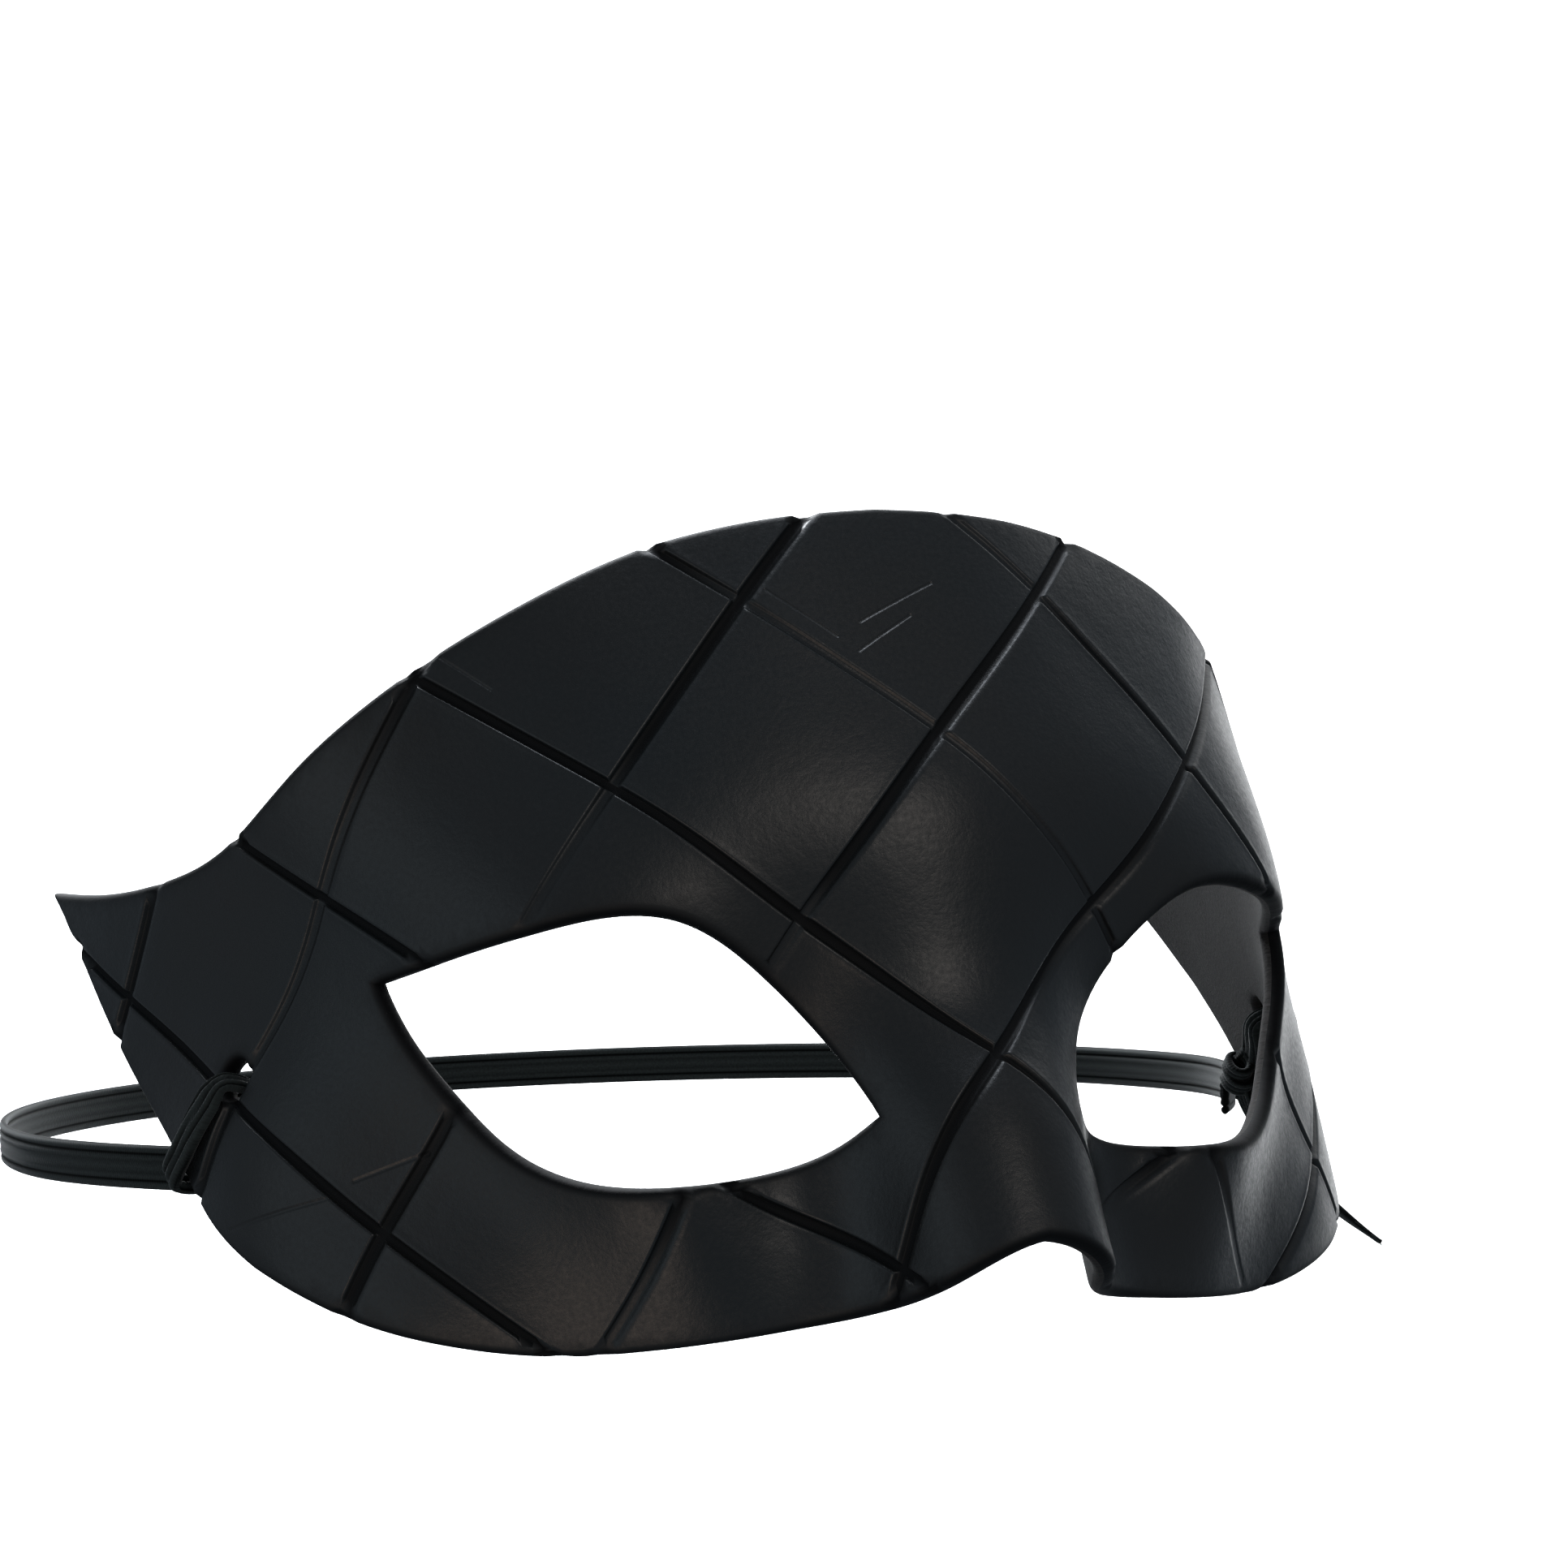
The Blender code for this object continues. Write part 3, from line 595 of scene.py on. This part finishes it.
# The dye turns near black towards the cut edges and, as painted shade, on the grooves' floors
dye_with_painted_groove_shade = add(
    tree, "ShaderNodeMix", [("Factor", cut), (6, dye.outputs[0])], data_type="RGBA", _7=colour("#07080a")
)
pebble = add(
    tree,
    "ShaderNodeTexVoronoi",
    [("Vector", place)],
    feature="SMOOTH_F1",
    Scale=1 / GRAIN_PEBBLE,
    Smoothness=0.6,
)
pore = add(tree, "ShaderNodeTexNoise", [("Vector", place)], Scale=1 / GRAIN_PORE, Detail=4.0, Roughness=0.6)
satin = add(
    tree,
    "ShaderNodeMapRange",
    [("Value", pore.outputs["Fac"])],
    From_Min=0.3,
    From_Max=0.7,
    To_Min=0.30,
    To_Max=0.44,
)
finish = add(tree, "ShaderNodeMix", [("Factor", cut), (2, satin.outputs[0])], _3=0.72)
gloss = add(tree, "ShaderNodeMapRange", [("Value", cut)], To_Min=0.5, To_Max=0.12)
tree.links.new(dye_with_painted_groove_shade.outputs[2], shader.inputs["Base Color"])
tree.links.new(finish.outputs[0], shader.inputs["Roughness"])
tree.links.new(gloss.outputs[0], shader.inputs["Specular IOR Level"])
shader.inputs["IOR"].default_value = 1.48
marks = None
for scratch in SCRATCHES:
    mask = scratch_mask(tree, place, scratch)
    if marks is not None:
        mask = add(tree, "ShaderNodeMath", [(0, marks), (1, mask)], operation="MAXIMUM").outputs[0]
    marks = mask
pebble_bump = add(
    tree, "ShaderNodeBump", [("Height", pebble.outputs["Distance"])], Strength=0.10, Distance=0.25 * MM
)
pore_bump = add(
    tree,
    "ShaderNodeBump",
    [("Height", pore.outputs["Fac"]), ("Normal", pebble_bump.outputs[0])],
    Strength=0.34,
    Distance=0.12 * MM,
)
scratch_bump = add(
    tree,
    "ShaderNodeBump",
    [("Height", marks), ("Normal", pore_bump.outputs[0])],
    Strength=0.75,
    Distance=0.12 * MM,
    invert=True,
)
tree.links.new(scratch_bump.outputs[0], shader.inputs["Normal"])

# Flesh side: the same hide's loose fibres, dyed through but left without finish, so matt and browner.
FIBRE = 0.5

flesh_leather, tree, shader = new_material("dyed_flesh_side")
place = add(tree, "ShaderNodeAttribute", attribute_name="blank").outputs["Vector"]
nap = add(tree, "ShaderNodeTexNoise", [("Vector", place)], Scale=1 / FIBRE, Detail=5.0, Roughness=0.7)
tone = add(tree, "ShaderNodeValToRGB", [("Fac", nap.outputs["Fac"])])
for stop, (at, tint) in zip(tone.color_ramp.elements, ((0.30, "#131211"), (0.75, "#2c2826"))):
    stop.position, stop.color = at, colour(tint)
nap_bump = add(tree, "ShaderNodeBump", [("Height", nap.outputs["Fac"])], Strength=0.7, Distance=0.3 * MM)
tree.links.new(tone.outputs[0], shader.inputs["Base Color"])
tree.links.new(nap_bump.outputs[0], shader.inputs["Normal"])
shader.inputs["Roughness"].default_value = 0.92
shader.inputs["IOR"].default_value = 1.45

leather_mask = mask_shell()
leather_mask.data.materials.append(grain_leather)
leather_mask.data.materials.append(flesh_leather)
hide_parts("mask_shell")
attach(leather_mask, "root")


# Head band. A flat braided elastic about 5 mm wide, ribbed lengthwise by its rubber cores. It runs from
# the knot behind one temple round the back of the head to the knot behind the other.
BAND_WIDTH = 5.0
BAND_THICKNESS = 1.1
BAND_DROP = 2.7
BAND_STEP = 1.2
HEAD_HALF_WIDTH = 77.0
HEAD_LENGTH = 190.0
EAR_DEPTH = 100.0
TIE_SLOPE = 32.0
KNOT_LENGTH = 7.0
KNOT_WIDTH = 5.6
KNOT_THICKNESS = 4.2
KNOT_INSET = 3.9

# Points of the band's way along each side of the head and round its back
SIDE_POINTS = 7
BACK_POINTS = 37

# Cross-section of the elastic: its ribs, how deep the creases between them go as a share of its thickness,
# how narrow a crease is, how boxy the strip is in width and in thickness, and the points round it
BAND_RIBS = 5
BAND_VALLEY = 0.6
CREASE_NARROWNESS = 1.6
BOXY_WIDTH = 0.6
BOXY_THICKNESS = 0.5
SECTION_POINTS = 56


def tie_way(side):
    """The hole on the flat blank, the way from it to the blank's edge, and how far that is."""
    hole = np.array([side * HOLE_GIRTH, HOLE_HEIGHT])
    slope = np.radians(TIE_SLOPE)
    way = np.array([side * np.cos(slope), -np.sin(slope)])
    edge = blank_outline() - hole
    ahead, beside = edge @ way, edge @ (-way[1], way[0])
    next_ahead, next_beside = np.roll(ahead, -1), np.roll(beside, -1)
    crossed = np.flatnonzero((beside > 0) != (next_beside > 0))
    share = beside[crossed] / (beside[crossed] - next_beside[crossed])
    reach = ahead[crossed] + share * (next_ahead[crossed] - ahead[crossed])
    return hole, way, reach[reach > 0].min()


def tie_points(side, along, depths):
    """Points beside the leather, so far from the hole towards the edge and so deep below the grain side."""
    hole, way, _ = tie_way(side)
    flat = hole + np.ravel(along)[:, None] * way
    return formed(flat[:, 0], flat[:, 1], depths)


def knot_place(side):
    """The knot's middle, behind the leather near its edge, and its way along, across and out."""
    depth = LEATHER + CLEARANCE + KNOT_THICKNESS / 2
    along = tie_way(side)[2] - KNOT_INSET
    (near, far), normal = tie_points(side, [along, along + 1], [depth, depth])
    ahead = (far - near) / np.linalg.norm(far - near)
    return near, ahead, np.cross(normal[0], ahead), normal[0]


def ribbed_sections(ribs, valley, count, shift=0.0):
    """Outlines of flat elastic: a rounded strip whose cores stand out as ribs, in shares of half its size,
    and how deep each point is in a crease. There is one outline for each point of a path, and the ribs may
    shift across it from point to point."""
    angle = np.arange(SECTION_POINTS) * 2 * np.pi / SECTION_POINTS
    x = np.sign(np.cos(angle)) * np.abs(np.cos(angle)) ** BOXY_WIDTH
    y = np.sign(np.sin(angle)) * np.abs(np.sin(angle)) ** BOXY_THICKNESS
    phase = np.broadcast_to(shift, count)[:, None]
    crease = (1 - np.abs(np.sin(np.pi / 2 * (ribs * (x + 1) + phase)))) ** CREASE_NARROWNESS
    return np.stack([np.tile(x, (count, 1)), y * (1 - valley * crease), crease], axis=2)


def evenly(path, step, closed=False):
    """The smooth curve through a path's points, with a point at every step."""
    path = np.asarray(path, float)
    if closed:
        path = np.concatenate([path[-3:], path, path[:3]])
    knots = np.r_[0.0, np.cumsum(np.linalg.norm(np.diff(path, axis=0), axis=1))]
    ends = (knots[3], knots[-3]) if closed else (0, knots[-1])
    fine = spline_weights(knots, np.linspace(*ends, CURVE_SAMPLES)) @ path
    along = np.r_[0.0, np.cumsum(np.linalg.norm(np.diff(fine[:, :3], axis=0), axis=1))]
    count = max(4, round(along[-1] / step))
    at = np.linspace(0, along[-1], count + 1)[: count if closed else count + 1]
    return np.stack([np.interp(at, along, column) for column in fine.T], axis=1)


def sweep(name, path, across, sections, width, thickness, finish, closed=False):
    """Elastic swept along a path: its width lies across, and its size may change from point to point."""
    path, across = np.asarray(path, float), np.asarray(across, float)
    ahead = np.roll(path, -1, axis=0) - np.roll(path, 1, axis=0)
    if not closed:
        ahead[0], ahead[-1] = path[1] - path[0], path[-1] - path[-2]
    ahead /= np.linalg.norm(ahead, axis=1)[:, None]
    across = across - (across * ahead).sum(axis=1)[:, None] * ahead
    across /= np.linalg.norm(across, axis=1)[:, None]
    out = np.cross(ahead, across)
    width, thickness = np.broadcast_to(width, len(path)), np.broadcast_to(thickness, len(path))
    wide = sections[:, :, :1] * (width[:, None] / 2)[:, :, None]
    thick = sections[:, :, 1:2] * (thickness[:, None] / 2)[:, :, None]
    points = path[:, None] + wide * across[:, None] + thick * out[:, None]
    sides, count = sections.shape[1], len(path)
    faces = []
    for i in range(count if closed else count - 1):
        for k in range(sides):
            here, there = i * sides, (i + 1) % count * sides
            faces.append((here + k, here + (k + 1) % sides, there + (k + 1) % sides, there + k))
    if not closed:
        faces += [tuple(reversed(range(sides))), tuple(range((count - 1) * sides, count * sides))]
    mesh = bpy.data.meshes.new(name)
    mesh.from_pydata((points.reshape(-1, 3) * MM).tolist(), [], faces)
    mesh.shade_smooth()
    mesh.materials.append(finish)
    steps = np.linalg.norm(np.diff(path, axis=0), axis=1)
    along = np.repeat(np.r_[0.0, np.cumsum(steps)], sides)
    beside = sections[:, :, 0].ravel() * np.repeat(width, sides) / 2
    braid = mesh.attributes.new("braid", "FLOAT_VECTOR", "POINT")
    braid.data.foreach_set("vector", np.c_[along, beside, 0 * along].astype(np.float32).ravel())
    # How deep each point lies in a crease, where the elastic's shader paints shade
    crease = mesh.attributes.new("crease", "FLOAT", "POINT")
    crease.data.foreach_set("value", sections[:, :, 2].astype(np.float32).ravel())
    shape = bmesh.new()
    shape.from_mesh(mesh)
    bmesh.ops.recalc_face_normals(shape, faces=shape.faces)
    shape.to_mesh(mesh)
    shape.free()
    made = bpy.data.objects.new(name, mesh)
    bpy.context.scene.collection.objects.link(made)
    return made


def band_side(side):
    """The band's middle line from one knot back to the ear, where it lies against the head."""
    start = knot_place(side)[0] + (0, KNOT_LENGTH / 2 + CLEARANCE, -BAND_DROP)
    depths = np.linspace(start[1], EAR_DEPTH, SIDE_POINTS + 1)[:-1]
    share = (EAR_DEPTH - depths) / (EAR_DEPTH - start[1])
    half_widths = HEAD_HALF_WIDTH - (HEAD_HALF_WIDTH - abs(start[0])) * share**2
    return np.stack([side * half_widths, depths, np.full(len(depths), start[2])], axis=1)


def band_path():
    """The band's middle line, from the left knot round the back of the head to the right one."""
    left, right = band_side(1), band_side(-1)
    angles = np.linspace(0, np.pi, BACK_POINTS)
    back = np.stack(
        [
            HEAD_HALF_WIDTH * np.cos(angles),
            EAR_DEPTH + (HEAD_LENGTH - EAR_DEPTH) * np.sin(angles),
            np.interp(angles, (0, np.pi), (left[0, 2], right[0, 2])),
        ],
        axis=1,
    )
    return np.concatenate([left, back, right[::-1]])


# Elastic: polyester yarn braided over rubber cores. It is matt, with a slight sheen from the yarn's fibres,
# and the yarns cross each rib as small chevrons. The creases between the ribs are painted dark as shade,
# and their shine is turned down; from CREASE_FULL on, a crease is as dark as it gets.
YARN = 0.42
WORN_PATCH = 1 / 3
CREASE_FULL = 0.7

elastic, tree, shader = new_material("braided_elastic")
braid = add(tree, "ShaderNodeAttribute", attribute_name="braid").outputs["Vector"]
ways = add(tree, "ShaderNodeSeparateXYZ", [(0, braid)])
half_rib = BAND_WIDTH / BAND_RIBS / 2
rib = add(tree, "ShaderNodeMath", [(0, ways.outputs[1])], operation="PINGPONG", _1=half_rib)
slant = add(tree, "ShaderNodeMath", [(0, rib.outputs[0]), (1, ways.outputs[0])], operation="ADD")
turns = add(tree, "ShaderNodeMath", [(0, slant.outputs[0])], operation="MULTIPLY", _1=2 * np.pi / YARN)
yarn = add(tree, "ShaderNodeMath", [(0, turns.outputs[0])], operation="SINE")
fuzz = add(tree, "ShaderNodeTexNoise", [("Vector", braid)], Scale=1 / WORN_PATCH, Detail=3.0)
yarn_tone = add(tree, "ShaderNodeValToRGB", [("Fac", fuzz.outputs["Fac"])])
for stop, (at, tint) in zip(yarn_tone.color_ramp.elements, ((0.3, "#171d1d"), (0.7, "#283130"))):
    stop.position, stop.color = at, colour(tint)
yarn_bump = add(tree, "ShaderNodeBump", [("Height", yarn.outputs[0])], Strength=0.25, Distance=0.05 * MM)
# Painted shade: the creases between the ribs are darkened towards near black and lose their shine
crease = add(tree, "ShaderNodeAttribute", attribute_name="crease").outputs["Fac"]
crease_shade = add(tree, "ShaderNodeMapRange", [("Value", crease)], From_Max=CREASE_FULL, To_Max=0.85)
yarn_with_crease_shade = add(
    tree,
    "ShaderNodeMix",
    [("Factor", crease_shade.outputs[0]), (6, yarn_tone.outputs[0])],
    data_type="RGBA",
    _7=colour("#030404"),
)
dull = add(
    tree, "ShaderNodeMapRange", [("Value", crease)], From_Max=CREASE_FULL, To_Min=0.4, To_Max=0.05
)
tree.links.new(dull.outputs[0], shader.inputs["Specular IOR Level"])
tree.links.new(yarn_with_crease_shade.outputs[2], shader.inputs["Base Color"])
tree.links.new(yarn_bump.outputs[0], shader.inputs["Normal"])
shader.inputs["Roughness"].default_value = 0.78
shader.inputs["Sheen Weight"].default_value = 0.12
shader.inputs["Sheen Roughness"].default_value = 0.4

path = evenly(band_path(), BAND_STEP)
upright = np.tile([0.0, 0.0, 1.0], (len(path), 1))
ribs = ribbed_sections(BAND_RIBS, BAND_VALLEY, len(path))
band = sweep("elastic_head_band", path, upright, ribs, BAND_WIDTH, BAND_THICKNESS, elastic)
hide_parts("head_band")
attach(band, "root")


# Ties. Each end of the elastic goes out through the punched hole, gathers into lengthwise folds as it is
# pulled over the leather's edge, and is knotted to itself behind. The cut end hangs there and frays.
TIE_WIDTH = 3.8
TIE_NECK_REACH = 2.0
TIE_STEP = 0.3
TIE_RUN_POINTS = 4
TIE_CORNER_POINTS = 4
TIE_FOLDS = 3
FOLD_VALLEY = 0.85
FOLD_START = 0.7
FOLD_DRIFT = 0.11

# Cut ends: how far they hang, swing out and curl, and how they narrow to a point and twist
TAIL_LEFT = 22.0
TAIL_RIGHT = 7.0
TAIL_SWING = 0.86
TAIL_CURL = 1.65
TAIL_WIDTH = 3.4
TAIL_RIBS = 4
TAIL_POINTS = 8
TAIL_STEP = 0.5
TAIL_POINT = 7.0
TAIL_TIP = 0.3
TAIL_TWIST = 0.15

# Knot: the strip that is wound, its turns and slant, and how far the knot's ends draw in
WRAP_WIDTH = 2.4
WRAP_THICKNESS = 1.1
WRAP_RIBS = 3
WRAP_TURNS = 2.6
WRAP_POINTS = 90
WRAP_SLANT = 0.25
KNOT_END = 0.12

# Loose yarns: their size, how they spread and tilt, and the share of the cut end's point that they stand on
FRAY_STRANDS = 26
FRAY_LENGTH = 1.6
FRAY_SHORTEST = 0.4
FRAY_THICKNESS = 0.16
FRAY_TIP = 0.3
FRAY_STEPS = 5
FRAY_SPREAD = 0.5
FRAY_TILT = 0.2
FRAY_LOOSE = 0.3
FRAY_STRETCH = 0.8
FRAY_CORNERS = (0, 2.1, 4.2)


def tie_loop(side):
    """The loop of elastic through the hole and round the edge: its path, the way its width lies, its
    width and how far it is from the hole."""
    hole, way, length = tie_way(side)
    off = CLEARANCE + TIE_THICKNESS / 2
    corner = np.linspace(0, np.pi / 2, TIE_CORNER_POINTS)
    runs = np.linspace(TIE_SEAT + off, length, TIE_RUN_POINTS + 2)[1:-1]
    front = [(run, -off) for run in runs]
    over_edge = [(length + off * np.sin(a), -off * np.cos(a)) for a in corner]
    under_edge = [(length + off * np.cos(a), LEATHER + off * np.sin(a)) for a in corner]
    back = [(run, LEATHER + off) for run in runs[::-1]]
    into_hole = [(TIE_SEAT + off - off * np.sin(a), LEATHER + off * np.cos(a)) for a in corner]
    out_of_hole = [(TIE_SEAT + off - off * np.cos(a), -off * np.sin(a)) for a in corner]
    along, depths = np.array(front + over_edge + under_edge + back + into_hole + out_of_hole).T
    path, _ = tie_points(side, along, depths)
    sideways = np.array([-way[1], way[0]])
    flat = hole + along[:, None] * way
    across = bent_sheet(*(flat + sideways).T) - bent_sheet(*(flat - sideways).T)
    both = evenly(np.c_[path, across, along], TIE_STEP, closed=True)
    spread = np.clip((both[:, 6] - TIE_SEAT - off / 2) / TIE_NECK_REACH, 0, 1)
    return both[:, :3], both[:, 3:6], TIE_NECK + (TIE_WIDTH - TIE_NECK) * spread, both[:, 6]


def tail_path(side):
    """The cut end of the elastic, hanging from the knot behind the leather."""
    middle = knot_place(side)[0]
    drop = np.linspace(0, TAIL_LEFT if side > 0 else TAIL_RIGHT, TAIL_POINTS)
    swing = TAIL_SWING * TAIL_LEFT * (drop / TAIL_LEFT) ** TAIL_CURL
    return evenly(middle + np.stack([side * swing, 0 * drop, -drop], axis=1), TAIL_STEP)


def knot_wraps(side):
    """The knot: the elastic wound round itself, as a flat spiral path round the knot's own axis."""
    middle, ahead, across, out = knot_place(side)
    turn = np.linspace(0, 1, WRAP_POINTS)
    angle = 2 * np.pi * WRAP_TURNS * turn
    radii = (np.array([KNOT_WIDTH, KNOT_THICKNESS]) - WRAP_THICKNESS) / 2
    swell = np.sin(np.pi * (KNOT_END + (1 - 2 * KNOT_END) * turn))
    run = (turn - 0.5) * (KNOT_LENGTH - WRAP_WIDTH)
    path = (
        middle
        + run[:, None] * ahead
        + (np.cos(angle) * radii[0] * swell)[:, None] * across
        + (np.sin(angle) * radii[1] * swell)[:, None] * out
    )
    return path, np.tile(ahead, (len(path), 1)) + WRAP_SLANT * across


def frayed_end(side, path, across, width):
    """Loose yarns that stand off the last few millimetres of a cut end, as one mesh."""
    chance = np.random.default_rng(7 + side)
    ahead = (path[-1] - path[-4]) / np.linalg.norm(path[-1] - path[-4])
    beside = across[-1] / np.linalg.norm(across[-1])
    out = np.cross(ahead, beside)
    points, faces = [], []
    for _ in range(FRAY_STRANDS):
        k = len(path) - 1 - int(chance.uniform(0, TAIL_POINT / TAIL_STEP * FRAY_STRETCH))
        place = chance.uniform(-1, 1)
        root = path[k] + beside * width[k] / 2 * place
        aim = ahead + beside * (FRAY_SPREAD * place + chance.uniform(-FRAY_TILT, FRAY_TILT))
        aim = aim + out * chance.uniform(-FRAY_LOOSE, FRAY_LOOSE)
        length = FRAY_LENGTH * chance.uniform(FRAY_SHORTEST, 1.0)
        bow = beside * chance.uniform(-FRAY_LOOSE, FRAY_LOOSE)
        bow = bow + out * chance.uniform(-FRAY_LOOSE, FRAY_LOOSE)
        first = len(points)
        for step in range(FRAY_STEPS + 1):
            share = step / FRAY_STEPS
            middle = root + length * (aim * share + bow * share**2)
            radius = FRAY_THICKNESS / 2 * (1 - (1 - FRAY_TIP) * share)
            points += [middle + radius * (np.cos(a) * beside + np.sin(a) * out) for a in FRAY_CORNERS]
        for step in range(FRAY_STEPS):
            for n in range(3):
                here, there = first + step * 3, first + step * 3 + 3
                faces.append((here + n, here + (n + 1) % 3, there + (n + 1) % 3, there + n))
    mesh = bpy.data.meshes.new("frayed_yarns")
    mesh.from_pydata((np.array(points) * MM).tolist(), [], faces)
    mesh.shade_smooth()
    mesh.materials.append(elastic)
    made = bpy.data.objects.new("frayed_yarns", mesh)
    bpy.context.scene.collection.objects.link(made)
    return made


for side, label in ((1, "left"), (-1, "right")):
    path, across, width, along = tie_loop(side)
    folds = ribbed_sections(TIE_FOLDS, FOLD_VALLEY, len(path), shift=FOLD_START + FOLD_DRIFT * along)
    loop = sweep(f"tie_{label}_loop", path, across, folds, width, TIE_THICKNESS, elastic, True)
    path, across = knot_wraps(side)
    wraps = ribbed_sections(WRAP_RIBS, BAND_VALLEY, len(path))
    knot = sweep(f"tie_{label}_knot", path, across, wraps, WRAP_WIDTH, WRAP_THICKNESS, elastic)
    path = tail_path(side)
    across = np.tile([0.0, 1.0, TAIL_TWIST], (len(path), 1))
    to_end = np.linspace(1, 0, len(path)) * (TAIL_LEFT if side > 0 else TAIL_RIGHT)
    narrowing = TAIL_TIP + (1 - TAIL_TIP) * smooth_step(0, TAIL_POINT, to_end)
    ribs = ribbed_sections(TAIL_RIBS, BAND_VALLEY, len(path))
    width, thickness = TAIL_WIDTH * narrowing, BAND_THICKNESS * np.sqrt(narrowing)
    tail = sweep(f"tie_{label}_tail", path, across, ribs, width, thickness, elastic)
    yarns = frayed_end(side, path, across, width)
    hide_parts(f"tie_{label}")
    for piece in (loop, knot, tail, yarns):
        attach(piece, "root")


# Studio. A pale paper sweep lies far behind the mask and well below it, and two lamps that face away from
# the mask light it. The mask has a small lamp overhead and one high behind it, for the grooves' walls and
# the top edge, and weak ones in front, at the picture's left and low down.
SWEEP_COLOUR = "#f2f3f3"
FLOOR_HEIGHT = -0.16
SWEEP_FRONT = 0.35
SWEEP_BACK = 1.3
SWEEP_BEND = 0.6
SWEEP_TOP = 2.4
SWEEP_LEFT = -0.1
SWEEP_RIGHT = 2.2
BEND_POINTS = 24
ROOM_COLOUR = "#d2e1ef"
ROOM_LIGHT = 0.26

sweep_paper, tree, shader = new_material("pale_paper")
shader.inputs["Base Color"].default_value = colour(SWEEP_COLOUR)
shader.inputs["Roughness"].default_value = 0.9
bend = [
    (SWEEP_BACK - SWEEP_BEND + SWEEP_BEND * np.sin(a), FLOOR_HEIGHT + SWEEP_BEND * (1 - np.cos(a)))
    for a in np.linspace(0, np.pi / 2, BEND_POINTS)
]
profile = [(SWEEP_FRONT, FLOOR_HEIGHT), *bend, (SWEEP_BACK, SWEEP_TOP)]
points = [(x, y, z) for y, z in profile for x in (SWEEP_LEFT, SWEEP_RIGHT)]
faces = [(2 * i, 2 * i + 1, 2 * i + 3, 2 * i + 2) for i in range(len(profile) - 1)]
mesh = bpy.data.meshes.new("paper_sweep")
mesh.from_pydata(points, [], faces)
mesh.shade_smooth()
mesh.materials.append(sweep_paper)
paper = bpy.data.objects.new("paper_sweep", mesh)
bpy.context.scene.collection.objects.link(paper)

LAMPS = (
    # name, place, aim, side of the square in metres, power in watts, colour
    ("overhead", (0.10, 0.25, 1.20), (0.0, 0.03, 0.0), 0.35, 3.2, "#eef5ff"),
    ("rim", (0.0, 0.80, 0.85), (0.0, 0.03, 0.0), 0.45, 22.0, "#f6faff"),
    ("front_fill", (0.15, -1.20, 0.62), (0.0, 0.0, 0.0), 0.6, 2.4, "#fff4ea"),
    ("left_fill", (-1.30, -0.10, 0.20), (-0.05, 0.05, 0.0), 0.9, 1.0, "#dcecf4"),
    ("table_glow", (-0.90, -0.75, -0.40), (-0.03, 0.0, -0.02), 0.6, 1.6, "#ffe6d2"),
    ("backdrop_left", (0.15, 0.45, 1.00), (0.20, 1.30, 0.80), 0.8, 24.0, "#ffffff"),
    ("backdrop_right", (1.20, 0.45, 1.00), (1.00, 1.30, 0.80), 0.8, 24.0, "#ffffff"),
)
for name, place, aim, side, power, tint in LAMPS:
    lamp = bpy.data.lights.new(name, "AREA")
    lamp.shape, lamp.size, lamp.energy, lamp.color = "SQUARE", side, power, colour(tint)[:3]
    held = bpy.data.objects.new(name, lamp)
    bpy.context.scene.collection.objects.link(held)
    held.location = place
    held.rotation_mode = "QUATERNION"
    held.rotation_quaternion = (Vector(aim) - Vector(place)).to_track_quat("-Z", "Y")

world = bpy.data.worlds.new("studio")
bpy.context.scene.world = world
world.use_nodes = True
world.node_tree.nodes["Background"].inputs["Color"].default_value = colour(ROOM_COLOUR)
world.node_tree.nodes["Background"].inputs["Strength"].default_value = ROOM_LIGHT
